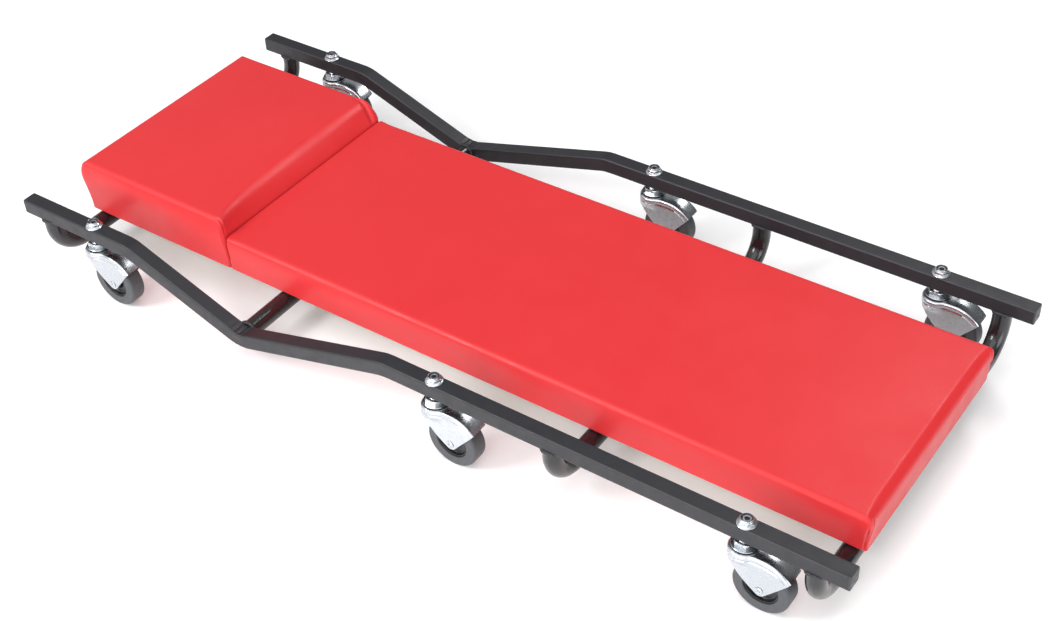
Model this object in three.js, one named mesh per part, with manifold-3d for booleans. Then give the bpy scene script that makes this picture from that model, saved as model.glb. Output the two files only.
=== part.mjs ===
// Mechanics creeper: a low padded board on a bent tube frame with six swivel casters.
//
// Frame: millimetres, +Z up. The origin is on the floor under the middle of the frame.
// +X runs from the head end to the foot end, +Y from the lying user's right side to the left.
// "right" parts sit at -Y and "left" parts at +Y.

import * as THREE from "three";
import { mergeVertices } from "three/addons/utils/BufferGeometryUtils.js";
import Module from "manifold-3d";

const wasm = await Module();
wasm.setup();

// ---------------------------------------------------------------- driving dimensions

const LENGTH = 1118; // over the rail end caps
const RAIL_SPACING = 444; // between the two rail centre lines
const RAIL_SIZE = 19.05; // outside of the square rail tube, 3/4 inch
const RAIL_WALL = 1.5;
const RAIL_CORNER = 2; // outside corner radius of the square tube
const RAIL_HEIGHT = 94; // straight rail centre line above the floor
const RAIL_BEND_RADIUS = 45;
const WAIST = { start: -384, low: -215.5, end: 3, height: 32 }; // the dip in each rail, by X

const TUBE_RADIUS = 11; // round cross tubes
const TUBE_WALL = 1.5;
const TUBE_HEIGHT = 35; // cross tube centre line under the pad
const TUBE_BEND_RADIUS = 38;
const U_TUBES = { head: -522, middle: 221, foot: 521 }; // X of the three U-shaped cross tubes

const PAD_HALF_WIDTH = 148;
const PAD = { head: -539, joint: -301, foot: 539 }; // X of the pad ends and the headrest joint
const BODY_TOP = 94;
const HEADREST_TOP = 118.4;
const COVER = 1.3; // vinyl thickness
const COVER_CORNER = 14; // plan radius of the pad corners
const COVER_EDGE = 7; // rounding of the pad's top and bottom edges
const HEM = 10; // width of the vinyl folded under the board
const BOARD = 12; // plywood thickness

const CASTERS = { head: -443, middle: 71, foot: 445 }; // X of the swivel axes
const WHEEL_RADIUS = 31.75;
const WHEEL_WIDTH = 19.6;
const TRAIL = 23.7; // swivel axis to wheel axle
const FORK_WIDTH = 25;
const FORK_THICKNESS = 1.6;
const FORK_TOP = 72.3;
const HOOD_RADIUS = 41.7; // hood surface about the axle
const HOOD_END = 40; // degrees above the horizontal at which the hood stops
const RACEWAY_RADIUS = 17.5;
const STEM_RADIUS = 5; // M10 threaded stem
const NUT_HEIGHT = 7.3;

const SMALL_ROUND = 10; // sides of the small round parts
const GAP = 0.3; // between pieces that move or rest on each other
const WELD_GAP = 0.05; // between a cross tube and the rail it is welded to
const SIDES = { right: -1, left: 1 };

// ---------------------------------------------------------------- finishes

const finish = (color, roughness, metalness) =>
  new THREE.MeshStandardMaterial({ color, roughness, metalness });
const blackPaint = () => finish(0x232226, 0.38, 0.1);
const glossBlackPaint = () => finish(0x151416, 0.25, 0.1);
const zinc = () => finish(0xc9d0d6, 0.25, 1);
const darkSteel = () => finish(0x6b6f74, 0.4, 1);
const capPlastic = () => finish(0x2b2b2f, 0.55, 0);
const redVinyl = () => finish(0xe8393c, 0.42, 0);
const foam = () => finish(0xe6dcc0, 0.95, 0);
const plywood = () => finish(0xb98d58, 0.8, 0);
const blackRubber = () => finish(0x3c3d40, 0.6, 0);

// ---------------------------------------------------------------- solids

// A closed solid from a three.js geometry, with only its positions kept and shared vertices merged.
function solid(geometry) {
  const bare = geometry.clone();
  bare.deleteAttribute("normal");
  bare.deleteAttribute("uv");
  const merged = mergeVertices(bare, 1e-4);
  return new wasm.Manifold(
    new wasm.Mesh({
      numProp: 3,
      vertProperties: merged.attributes.position.array,
      triVerts: new Uint32Array(merged.index.array),
    }),
  );
}

const join = (first, ...rest) => rest.reduce((all, next) => all.add(next), first);
const cut = (first, ...tools) => tools.reduce((left, tool) => left.subtract(tool), first);

// A named mesh from a solid or a geometry.
function piece(name, shape, material) {
  let geometry = shape;
  if (!shape.isBufferGeometry) {
    const { vertProperties, triVerts } = shape.getMesh();
    geometry = new THREE.BufferGeometry();
    geometry.setAttribute("position", new THREE.BufferAttribute(vertProperties, 3));
    geometry.setIndex(new THREE.BufferAttribute(triVerts, 1));
    geometry.computeVertexNormals();
  }
  const mesh = new THREE.Mesh(geometry, material);
  mesh.name = name;
  return mesh;
}

// A solid of revolution about +Z from [radius, height] points, going up on the outside.
function turned(points, segments) {
  const profile = points.map(([radius, height]) => new THREE.Vector2(radius, height));
  return new THREE.LatheGeometry(profile, segments).rotateX(Math.PI / 2);
}

// A round bar from one height to another about +Z.
function bar(radius, low, high, segments) {
  const cylinder = new THREE.CylinderGeometry(radius, radius, high - low, segments);
  return cylinder.rotateX(Math.PI / 2).translate(0, 0, (low + high) / 2);
}

function box(low, high) {
  const size = high.map((value, i) => value - low[i]);
  const centre = high.map((value, i) => (value + low[i]) / 2);
  return new THREE.BoxGeometry(...size).translate(...centre);
}

// A rectangle with rounded corners, centred on (x, y).
function roundedRectangle(width, height, radius, x = 0, y = 0) {
  const [w, h] = [width / 2 - radius, height / 2 - radius];
  const shape = new THREE.Shape();
  shape.absarc(x + w, y + h, radius, 0, Math.PI / 2);
  shape.absarc(x - w, y + h, radius, Math.PI / 2, Math.PI);
  shape.absarc(x - w, y - h, radius, Math.PI, Math.PI * 1.5);
  shape.absarc(x + w, y - h, radius, Math.PI * 1.5, Math.PI * 2);
  return shape;
}

// A square with sharp corners, centred on the origin.
function square(size) {
  const half = size / 2;
  const corners = [
    [-half, -half],
    [half, -half],
    [half, half],
    [-half, half],
  ];
  return new THREE.Path(corners.map(([x, y]) => new THREE.Vector2(x, y)));
}

// A shape drawn in X and Z, given a width across Y and centred on y = 0.
function slab(shape, width, curveSegments) {
  const options = { depth: width, bevelEnabled: false, curveSegments };
  const geometry = new THREE.ExtrudeGeometry(shape, options);
  return geometry.rotateX(Math.PI / 2).translate(0, width / 2, 0);
}

// A tube's centre line: straight runs joined by arcs, all in the plane square to `across`.
class BentPath extends THREE.Curve {
  constructor(corners, bendRadius, across, stepsPerBend = 3) {
    super();
    this.across = across;
    this.stations = [];
    const runs = corners.slice(1).map((corner, i) => corner.clone().sub(corners[i]).normalize());
    this.addStation(corners[0], runs[0]);
    for (let i = 1; i < corners.length - 1; i++) {
      const [arriving, leaving] = [runs[i - 1], runs[i]];
      const angle = arriving.angleTo(leaving);
      const turn = Math.sign(arriving.clone().cross(leaving).dot(across));
      const tangentLength = bendRadius * Math.tan(angle / 2);
      const start = corners[i].clone().addScaledVector(arriving, -tangentLength);
      const outward = arriving.clone().cross(across).multiplyScalar(turn);
      const centre = start.clone().addScaledVector(outward, -bendRadius);
      for (let step = 0; step <= stepsPerBend; step++) {
        const turned = (turn * angle * step) / stepsPerBend;
        const spoke = outward.clone().applyAxisAngle(across, turned);
        const point = centre.clone().addScaledVector(spoke, bendRadius);
        this.addStation(point, arriving.clone().applyAxisAngle(across, turned));
      }
    }
    this.addStation(corners.at(-1), runs.at(-1));
  }

  addStation(point, tangent) {
    this.stations.push({ point: point.clone(), tangent: tangent.clone() });
  }

  getSpacedPoints() {
    return this.stations.map(({ point }) => point.clone());
  }

  computeFrenetFrames() {
    const tangents = this.stations.map(({ tangent }) => tangent);
    const normals = tangents.map((tangent) => this.across.clone().cross(tangent));
    const binormals = tangents.map(() => this.across);
    return { tangents, normals, binormals };
  }
}

// A hollow tube of the given section along a bent path.
function bentTube(section, path, curveSegments) {
  return new THREE.ExtrudeGeometry(section, {
    extrudePath: path,
    steps: path.stations.length - 1,
    curveSegments,
  });
}

// ---------------------------------------------------------------- frame

const RAIL_BOTTOM = RAIL_HEIGHT - RAIL_SIZE / 2;
const RAIL_TOP = RAIL_HEIGHT + RAIL_SIZE / 2;
const CAP_HEAD = 2.2;
const CAP_PLUG = 12;
const CAP_EDGE = 0.8;
const BOLT_HOLE = STEM_RADIUS + GAP;

// A square tube along X with the waist dip pressed into it and a bolt hole for each caster.
function sideRail(side) {
  const end = LENGTH / 2 - CAP_HEAD;
  const corners = [
    [-end, RAIL_HEIGHT],
    [WAIST.start, RAIL_HEIGHT],
    [WAIST.low, WAIST.height],
    [WAIST.end, RAIL_HEIGHT],
    [end, RAIL_HEIGHT],
  ].map(([x, z]) => new THREE.Vector3(x, (side * RAIL_SPACING) / 2, z));
  const section = roundedRectangle(RAIL_SIZE, RAIL_SIZE, RAIL_CORNER);
  const bore = RAIL_SIZE - 2 * RAIL_WALL;
  section.holes.push(square(bore));
  const path = new BentPath(corners, RAIL_BEND_RADIUS, new THREE.Vector3(0, 1, 0));
  const tube = solid(bentTube(section, path, 1));
  const holes = Object.values(CASTERS).map((x) =>
    solid(
      bar(BOLT_HOLE, RAIL_BOTTOM - 1, RAIL_TOP + 1, SMALL_ROUND).translate(x, (side * RAIL_SPACING) / 2, 0),
    ),
  );
  return cut(tube, ...holes);
}

// A plastic plug for a rail end, its head facing +X and resting on the tube end at x = 0.
function endCap() {
  const bore = RAIL_SIZE - 2 * RAIL_WALL - 2 * GAP;
  const plug = box([-CAP_PLUG, -bore / 2, -bore / 2], [CAP_HEAD / 2, bore / 2, bore / 2]);
  const head = new THREE.ExtrudeGeometry(roundedRectangle(RAIL_SIZE, RAIL_SIZE, RAIL_CORNER), {
    depth: CAP_HEAD - 2 * CAP_EDGE,
    bevelThickness: CAP_EDGE,
    bevelSize: CAP_EDGE,
    bevelOffset: -CAP_EDGE,
    bevelSegments: 1,
    curveSegments: 1,
  });
  head.rotateY(Math.PI / 2).translate(CAP_EDGE, 0, 0);
  return join(solid(head), solid(plug));
}

// ---------------------------------------------------------------- cross tubes

const TUBE_TOP = TUBE_HEIGHT + TUBE_RADIUS;
const SCREW_Y = 90; // pad screws on each side of the middle
const SCREW_RADIUS = 2.5;
const SCREW_SIDES = 8;
const TUBE_SIDES = 12;

function tubeSection() {
  const section = new THREE.Shape();
  section.absarc(0, 0, TUBE_RADIUS, 0, Math.PI * 2);
  const bore = new THREE.Path();
  bore.absarc(0, 0, TUBE_RADIUS - TUBE_WALL, 0, Math.PI * 2);
  section.holes.push(bore);
  return section;
}

// A round tube through the given [y, z] corners in the plane X = x, drilled for its two pad screws.
function crossTube(x, corners) {
  const points = corners.map(([y, z]) => new THREE.Vector3(x, y, z));
  const path = new BentPath(points, TUBE_BEND_RADIUS, new THREE.Vector3(1, 0, 0));
  const tube = solid(bentTube(tubeSection(), path, TUBE_SIDES / 2));
  const holes = [-SCREW_Y, SCREW_Y].map((y) =>
    solid(
      bar(SCREW_RADIUS + GAP, TUBE_HEIGHT - 2 * TUBE_RADIUS, TUBE_TOP + 1, SCREW_SIDES).translate(x, y, 0),
    ),
  );
  return cut(tube, ...holes);
}

// A tube that drops from the underside of each rail and runs flat below the pad.
function uTube(x) {
  const y = RAIL_SPACING / 2;
  const top = RAIL_BOTTOM - WELD_GAP;
  return crossTube(x, [
    [-y, top],
    [-y, TUBE_HEIGHT],
    [y, TUBE_HEIGHT],
    [y, top],
  ]);
}

// The straight tube between the lowest points of the two rails.
function waistTube() {
  const y = (RAIL_SPACING - RAIL_SIZE) / 2 - WELD_GAP;
  return crossTube(WAIST.low, [
    [-y, TUBE_HEIGHT],
    [y, TUBE_HEIGHT],
  ]);
}

// ---------------------------------------------------------------- pad

const PAD_BOTTOM = TUBE_TOP + GAP / 2;
const BOARD_BOTTOM = PAD_BOTTOM + COVER + GAP;
const BOARD_TOP = BOARD_BOTTOM + BOARD;
const BOARD_INSET = COVER + 1; // board edge inside the pad's outer face
const SCREW_HEAD = { radius: 5, height: 3, crown: 3, edge: 1.5 }; // crown: radius of its flat underside
const SCREW_TIP = 1; // length of the taper at the screw's end
const SCREW_COVER = 3; // board left above the screw

const padSpan = (from, to, inset, corner) =>
  roundedRectangle(to - from - 2 * inset, 2 * (PAD_HALF_WIDTH - inset), corner, (from + to) / 2);

// A flat block with the given plan outline.
function block(outline, low, high) {
  const options = { depth: high - low, bevelEnabled: false, curveSegments: 2 };
  return solid(new THREE.ExtrudeGeometry(outline, options).translate(0, 0, low));
}

// The same with its top edge rounded.
function cushionBlock(outline, low, high) {
  const geometry = new THREE.ExtrudeGeometry(outline, {
    depth: high - low - COVER_EDGE,
    bevelThickness: COVER_EDGE,
    bevelSize: COVER_EDGE,
    bevelOffset: -COVER_EDGE,
    bevelSegments: 2,
    curveSegments: 2,
  });
  const reach = LENGTH;
  const below = box([-reach, -reach, low - 2 * COVER_EDGE], [reach, reach, low]);
  return cut(solid(geometry.translate(0, 0, low)), solid(below));
}

function padBoard() {
  const board = block(padSpan(PAD.head, PAD.foot, BOARD_INSET, COVER_CORNER), BOARD_BOTTOM, BOARD_TOP);
  const holes = [U_TUBES.head, WAIST.low, U_TUBES.middle, U_TUBES.foot].flatMap((x) =>
    [-SCREW_Y, SCREW_Y].map((y) =>
      solid(
        bar(SCREW_RADIUS + GAP, BOARD_BOTTOM - 1, BOARD_TOP - SCREW_COVER + 1, SCREW_SIDES).translate(x, y, 0),
      ),
    ),
  );
  return cut(board, ...holes);
}

// The foam block inside one cover, resting on the board.
function cushionFoam(from, to, top) {
  const outline = padSpan(from, to, COVER + GAP, COVER_CORNER - COVER);
  return cushionBlock(outline, BOARD_TOP + GAP, top - COVER - GAP);
}

// One vinyl cover: a skin over the foam and down the board's edges, with a hem folded under the
// board, and open underneath. `joint` is the X of the wall it shares with the other cushion, which
// stops above the board; `open` points from that wall out of the cover.
function cushionCover(from, to, top, joint, open) {
  const outside = cushionBlock(padSpan(from, to, GAP / 2, COVER_CORNER), PAD_BOTTOM, top);
  const foamRoom = cushionBlock(
    padSpan(from, to, COVER + GAP / 2, COVER_CORNER - COVER),
    BOARD_TOP - 1,
    top - COVER,
  );
  const past = joint + open * 2 * COVER_CORNER;
  const [low, high] = open > 0 ? [from, past] : [past, to];
  const boardRoom = block(
    padSpan(low, high, COVER + GAP / 2, COVER_CORNER - COVER),
    PAD_BOTTOM + COVER,
    BOARD_TOP + GAP,
  );
  const [hemLow, hemHigh] = open > 0 ? [from + HEM, past] : [past, to - HEM];
  const hemRoom = box(
    [hemLow, HEM - PAD_HALF_WIDTH, PAD_BOTTOM - 1],
    [hemHigh, PAD_HALF_WIDTH - HEM, BOARD_TOP],
  );
  return cut(outside, foamRoom, boardRoom, solid(hemRoom));
}

// A pan-head screw up through a cross tube into the board.
function padScrew() {
  const head = TUBE_HEIGHT - TUBE_RADIUS - GAP;
  const tip = BOARD_TOP - SCREW_COVER;
  return turned(
    [
      [0, head - SCREW_HEAD.height],
      [SCREW_HEAD.crown, head - SCREW_HEAD.height],
      [SCREW_HEAD.radius, head - SCREW_HEAD.edge],
      [SCREW_HEAD.radius, head],
      [SCREW_RADIUS, head],
      [SCREW_RADIUS, tip - SCREW_TIP],
      [0, tip],
    ],
    SCREW_SIDES,
  );
}

// ---------------------------------------------------------------- caster, about its swivel axis

const ROUND = 16; // sides of the caster's turned parts
const NUT_ROUND = 12;
const HEX_RADIUS = 12.7; // 22 mm across the flats
const RACE = { radius: 15.8, thickness: 1.4 };
const RACE_TOP = FORK_TOP + GAP + RACE.thickness;
const FLANGE = { radius: 14.6, top: RACE_TOP + GAP + 1 };
const HEX_TOP = 81.6;
const NECK_RADIUS = 7.5;
const PIVOT_RADIUS = 5.8;
const PIVOT_HEAD = { radius: 8.5, thickness: 3.2, edge: 1.5 };
const STUD_TOP = RAIL_TOP + NUT_HEIGHT - 0.8;
const STUD_SOCKET = 6; // depth of the hollow in the stud's end
const NUT = { hexRadius: 8.66, hexTop: 5.2, flange: 10.3, flangeEdge: 1.2, collar: 6.6, cone: 3.4 };
const AXLE_RADIUS = 3;
const AXLE_HEAD = { radius: 4.3, height: 1 };
const HUB_WIDTH = FORK_WIDTH - 2 * FORK_THICKNESS - 1; // half a millimetre of play on each side
const HUB_RADIUS = 8.5;
const RIM_RADIUS = 19.5; // inner edge of the rubber
const WEB_WIDTH = 11;
const SHOULDER = 4; // rounding of the tread edge
const SKIRT_BOTTOM = 64; // lower edge of the raceway cup's skirt
const LEG_FRONT = -13; // X of the legs' front edge at the skirt
const LEG_TIP_RADIUS = 7; // of the leg round the axle
const LEG_FRONT_TANGENT = THREE.MathUtils.degToRad(-140); // where the tip meets the front edge
const LEG_FRONT_PULL = { x: -7.5, z: 45.5 }; // control point of the front edge's curve
const CUP_TAPER = 12; // height over which the raceway cup narrows below its skirt

// Threaded stud, hexagon, flange and riveted pivot in one piece; the stud's end is hollow.
function casterStem() {
  const headTop = FORK_TOP - FORK_THICKNESS - GAP;
  const post = turned(
    [
      [0, headTop - PIVOT_HEAD.thickness],
      [PIVOT_HEAD.radius - PIVOT_HEAD.edge, headTop - PIVOT_HEAD.thickness],
      [PIVOT_HEAD.radius, headTop],
      [PIVOT_RADIUS, headTop],
      [PIVOT_RADIUS, RACE_TOP + GAP],
      [FLANGE.radius, RACE_TOP + GAP],
      [FLANGE.radius, FLANGE.top],
      [NECK_RADIUS, FLANGE.top],
      [NECK_RADIUS, RAIL_BOTTOM],
      [STEM_RADIUS, RAIL_BOTTOM],
      [STEM_RADIUS, STUD_TOP],
      [STEM_RADIUS / 2, STUD_TOP],
      [STEM_RADIUS / 2, STUD_TOP - STUD_SOCKET],
      [0, STUD_TOP - STUD_SOCKET],
    ],
    ROUND,
  );
  const hexagon = bar(HEX_RADIUS, FLANGE.top - GAP, HEX_TOP, 6);
  return join(solid(post), solid(hexagon));
}

// The hardened washer that carries the swivel's balls, pressed on the pivot.
function swivelRace() {
  const bore = PIVOT_RADIUS + GAP;
  const low = FORK_TOP + GAP;
  return turned(
    [
      [bore, low],
      [RACE.radius, low],
      [RACE.radius, RACE_TOP],
      [bore, RACE_TOP],
      [bore, low],
    ],
    ROUND,
  );
}

// Flanged lock nut with a rounded collar, on the stud above the rail.
function lockNut() {
  const bore = STEM_RADIUS + GAP;
  const skirt = turned(
    [
      [bore, RAIL_TOP],
      [NUT.flange, RAIL_TOP],
      [NUT.flange, RAIL_TOP + NUT.flangeEdge],
      [NUT.collar, RAIL_TOP + NUT.cone],
      [NUT.collar, RAIL_TOP + NUT_HEIGHT],
      [bore, RAIL_TOP + NUT_HEIGHT],
      [bore, RAIL_TOP],
    ],
    NUT_ROUND,
  );
  const hexagon = bar(NUT.hexRadius, RAIL_TOP + NUT.flangeEdge, RAIL_TOP + NUT.hexTop, 6);
  const thread = bar(bore, RAIL_TOP - 1, RAIL_TOP + NUT_HEIGHT + 1, NUT_ROUND);
  return join(solid(skirt), cut(solid(hexagon), solid(thread)));
}

// The hood's rounded top line, from the front of the fork to the end of the hood, at `inset`
// inside the outer surface; the hood is an arc about the axle.
function hoodLine(front, inset) {
  const top = FORK_TOP - inset;
  const radius = HOOD_RADIUS - inset;
  const start = Math.PI - Math.asin((top - WHEEL_RADIUS) / radius);
  const end = THREE.MathUtils.degToRad(HOOD_END);
  const outline = new THREE.Shape();
  outline.moveTo(front, top);
  outline.absarc(TRAIL, WHEEL_RADIUS, radius, start, end, true);
  return outline;
}

// The outside of one fork leg: from the hood's tip round the axle and up the curved front edge.
function legOutline() {
  const tip = THREE.MathUtils.degToRad(HOOD_END) - Math.acos(LEG_TIP_RADIUS / HOOD_RADIUS);
  const outline = hoodLine(LEG_FRONT, 0);
  outline.absarc(TRAIL, WHEEL_RADIUS, LEG_TIP_RADIUS, tip, LEG_FRONT_TANGENT, true);
  outline.quadraticCurveTo(LEG_FRONT_PULL.x, LEG_FRONT_PULL.z, LEG_FRONT, SKIRT_BOTTOM);
  return outline;
}

// Everything between the legs and under the hood, running out past the hood's end and the axle.
function forkRoom() {
  const outline = hoodLine(LEG_FRONT + FORK_THICKNESS, FORK_THICKNESS);
  const past = HOOD_RADIUS * 2;
  outline.lineTo(past, past * 0.75);
  outline.lineTo(past, 0);
  outline.lineTo(-past, 0);
  outline.lineTo(-past, SKIRT_BOTTOM);
  outline.lineTo(LEG_FRONT + FORK_THICKNESS, SKIRT_BOTTOM);
  return outline;
}

// The raceway cup about the swivel axis, narrowing into the legs below its skirt.
function raceway(inset) {
  const radius = RACEWAY_RADIUS - inset;
  const top = FORK_TOP - inset;
  const low = SKIRT_BOTTOM - CUP_TAPER;
  return turned(
    [
      [0, low],
      [FORK_WIDTH / 2 - inset, low],
      [radius, SKIRT_BOTTOM + 1],
      [radius, top],
      [0, top],
    ],
    ROUND,
  );
}

// Pressed fork: a round raceway cup that runs into two legs and a hood over the wheel.
function casterFork() {
  const legs = solid(slab(legOutline(), FORK_WIDTH, 3));
  const skirtRoom = box(
    [-RACEWAY_RADIUS - 1, -RACEWAY_RADIUS - 1, SKIRT_BOTTOM],
    [0, RACEWAY_RADIUS + 1, FORK_TOP + 1],
  );
  // Below the skirt the cup is kept only where it lies behind the legs' front edge.
  const kept = join(solid(slab(legOutline(), 2 * RACEWAY_RADIUS + 2, 3)), solid(skirtRoom));
  const cup = solid(raceway(0)).intersect(kept);
  const room = solid(slab(forkRoom(), FORK_WIDTH - 2 * FORK_THICKNESS, 3));
  const pivotHole = bar(PIVOT_RADIUS + GAP, SKIRT_BOTTOM, FORK_TOP + 1, ROUND);
  const axleHole = bar(AXLE_RADIUS + GAP, -FORK_WIDTH, FORK_WIDTH, SMALL_ROUND)
    .rotateX(Math.PI / 2)
    .translate(TRAIL, 0, WHEEL_RADIUS);
  return cut(
    join(legs, cup),
    solid(raceway(FORK_THICKNESS)),
    room,
    solid(pivotHole),
    solid(axleHole),
  );
}

// Axle rivet through both legs, about +Z here and laid along Y in the caster.
function axle() {
  const shoulder = FORK_WIDTH / 2 + GAP;
  const end = shoulder + AXLE_HEAD.height;
  return turned(
    [
      [0, -end],
      [AXLE_RADIUS, -end],
      [AXLE_HEAD.radius, -shoulder],
      [AXLE_RADIUS, -shoulder],
      [AXLE_RADIUS, shoulder],
      [AXLE_HEAD.radius, shoulder],
      [AXLE_RADIUS, end],
      [0, end],
    ],
    SMALL_ROUND,
  );
}

// Wheel with a recessed web on each side, a hub boss and a rounded tread, about +Z here.
function wheel() {
  const sides = 20;
  // The tread is a polygon that stands on one of its flats, so its corners lie outside the radius.
  const tread = WHEEL_RADIUS / Math.cos(Math.PI / sides);
  const half = [
    [AXLE_RADIUS + GAP, HUB_WIDTH / 2],
    [HUB_RADIUS, HUB_WIDTH / 2],
    [HUB_RADIUS, WEB_WIDTH / 2],
    [RIM_RADIUS, WEB_WIDTH / 2],
    [RIM_RADIUS, WHEEL_WIDTH / 2],
    [tread - SHOULDER, WHEEL_WIDTH / 2],
    [tread, WHEEL_WIDTH / 2 - SHOULDER],
  ];
  const lower = half.map(([radius, height]) => [radius, -height]);
  const profile = [...lower, ...half.reverse(), lower[0]];
  return turned(profile, sides).rotateZ(Math.PI / sides);
}

// ---------------------------------------------------------------- the creeper

const creeper = new THREE.Group();

for (const [side, sign] of Object.entries(SIDES)) {
  creeper.add(piece(`side_rail_${side}`, sideRail(sign), blackPaint()));
  for (const [end, direction] of Object.entries({ head: -1, foot: 1 })) {
    const cap = piece(`rail_end_cap_${end}_${side}`, endCap(), capPlastic());
    cap.position.set(
      direction * (LENGTH / 2 - CAP_HEAD),
      (sign * RAIL_SPACING) / 2,
      RAIL_HEIGHT,
    );
    cap.rotation.z = direction > 0 ? 0 : Math.PI;
    creeper.add(cap);
  }
}

for (const [place, x] of Object.entries(U_TUBES)) {
  creeper.add(piece(`cross_tube_${place}`, uTube(x), glossBlackPaint()));
}
creeper.add(piece("cross_tube_waist", waistTube(), glossBlackPaint()));

const headrest = [PAD.head, PAD.joint, HEADREST_TOP];
const body = [PAD.joint, PAD.foot, BODY_TOP];
creeper.add(piece("pad_board", padBoard(), plywood()));
creeper.add(piece("headrest_foam", cushionFoam(...headrest), foam()));
creeper.add(piece("body_foam", cushionFoam(...body), foam()));
creeper.add(piece("headrest_cover", cushionCover(...headrest, PAD.joint, 1), redVinyl()));
creeper.add(piece("body_cover", cushionCover(...body, PAD.joint, -1), redVinyl()));

for (const [place, x] of Object.entries({ ...U_TUBES, waist: WAIST.low })) {
  for (const [side, sign] of Object.entries(SIDES)) {
    const screw = piece(`pad_screw_${place}_${side}`, padScrew(), zinc());
    screw.position.set(x, sign * SCREW_Y, 0);
    creeper.add(screw);
  }
}

for (const [place, x] of Object.entries(CASTERS)) {
  for (const [side, sign] of Object.entries(SIDES)) {
    const name = `caster_${place}_${side}`;
    const caster = new THREE.Group();
    caster.position.set(x, (sign * RAIL_SPACING) / 2, 0);
    caster.add(
      piece(`${name}_lock_nut`, lockNut(), zinc()),
      piece(`${name}_stem`, casterStem(), zinc()),
      piece(`${name}_race`, swivelRace(), darkSteel()),
      piece(`${name}_fork`, casterFork(), zinc()),
    );
    const wheelSet = new THREE.Group();
    wheelSet.position.set(TRAIL, 0, WHEEL_RADIUS);
    wheelSet.rotation.x = Math.PI / 2;
    wheelSet.add(
      piece(`${name}_axle`, axle(), zinc()),
      piece(`${name}_wheel`, wheel(), blackRubber()),
    );
    caster.add(wheelSet);
    creeper.add(caster);
  }
}

export default creeper;
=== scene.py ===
"""Looks of the mechanics creeper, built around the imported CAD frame.

Metres, +Z up. +X runs from the head end to the foot end, "right" is -Y and "left" is +Y.
Sizes and places are read from the CAD nodes; the named values below are details the CAD leaves out.
"""

import copy
import math

import bmesh
import bpy
import numpy as np
from mathutils import Matrix, Vector


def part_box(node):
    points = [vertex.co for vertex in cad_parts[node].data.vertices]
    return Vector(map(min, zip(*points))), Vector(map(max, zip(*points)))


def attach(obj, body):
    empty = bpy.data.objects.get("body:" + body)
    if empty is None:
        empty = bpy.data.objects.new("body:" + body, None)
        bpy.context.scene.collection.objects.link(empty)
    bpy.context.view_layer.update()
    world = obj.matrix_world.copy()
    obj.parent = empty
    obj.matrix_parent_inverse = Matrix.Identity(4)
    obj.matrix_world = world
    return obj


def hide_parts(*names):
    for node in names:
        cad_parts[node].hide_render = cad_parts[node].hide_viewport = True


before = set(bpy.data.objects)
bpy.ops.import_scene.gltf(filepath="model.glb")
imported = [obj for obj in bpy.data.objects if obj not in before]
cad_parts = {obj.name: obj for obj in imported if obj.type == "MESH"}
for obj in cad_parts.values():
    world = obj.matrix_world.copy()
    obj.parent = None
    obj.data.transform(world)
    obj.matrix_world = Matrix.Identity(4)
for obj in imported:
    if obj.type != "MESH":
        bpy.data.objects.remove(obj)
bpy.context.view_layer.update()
rng = np.random.default_rng(7)

MM = 0.001
SIDES = {"right": -1, "left": 1}
CASTER_PLACES = ("head", "middle", "foot")
U_TUBE_PLACES = ("head", "middle", "foot")

# ---- details the CAD leaves out

RAIL_WALL = 1.5 * MM
RAIL_CORNER = 2 * MM
RAIL_BEND = 45 * MM  # centre line radius
DIP_START, DIP_END = -384 * MM, 3 * MM  # X where the rail turns down and comes level again
DIP_HEIGHT = 32 * MM  # where the two sloping centre lines meet
CRUSH_DEPTH = 2.3 * MM  # dish pressed into the inside of a rail bend
CRUSH_REACH = 12 * MM
CRUSH_PITCH = 9 * MM  # between the wrinkles of the crush

TUBE_WALL = 1.5 * MM
TUBE_BEND = 38 * MM
BEAD_RADIUS = 2.2 * MM
BEAD_PITCH = 2.4 * MM

VINYL = 1.3 * MM
CRISP_EDGE = 5.5 * MM  # rounding of the cushions' top edges
HEM_EDGE = 2.6 * MM  # rounding where the vinyl turns under the board
JOINT_EDGE = 3.5 * MM  # rounding where the two cushions meet
CORNER_ROUND = 3.5 * MM  # upright corners, in plan
FOOT_ROUND = 12 * MM  # top edge at the foot end of the body cushion
SLOPE_ROUND = 7 * MM  # top edge of the headrest's sloping side
HEADREST_SETBACK = 23 * MM  # how far that side leans back over its height
JOINT_GAPE = 1.3 * MM  # how far each cushion draws back from the joint at the sides
HEM = 12 * MM
CUSHION_FINE, CUSHION_COARSE = 0.7 * MM, 8 * MM  # grid steps at the edges and in the middle
FOAM_INSET = 4.5 * MM  # foam block inside the outer face of its cover

FOLD = 3 * MM  # rounding between the fork's top and its sides
FORK_SHEET = 1.6 * MM
SKIRT_DEPTH = 8.3 * MM  # raceway cup below the fork's top
LEG_TIP = 7 * MM
PRESS_LINE = (2.2, 2.9, 3.6, 4.3)  # mm below the fold, where the pressed line starts, sinks, rises, ends
PRESS_DEPTH = 0.55 * MM


# ---- places read from the frame


def low_high(node):
    low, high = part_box(node)
    return np.array(low), np.array(high)


def middle(node):
    low, high = low_high(node)
    return (low + high) / 2


# ---- outlines


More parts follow.
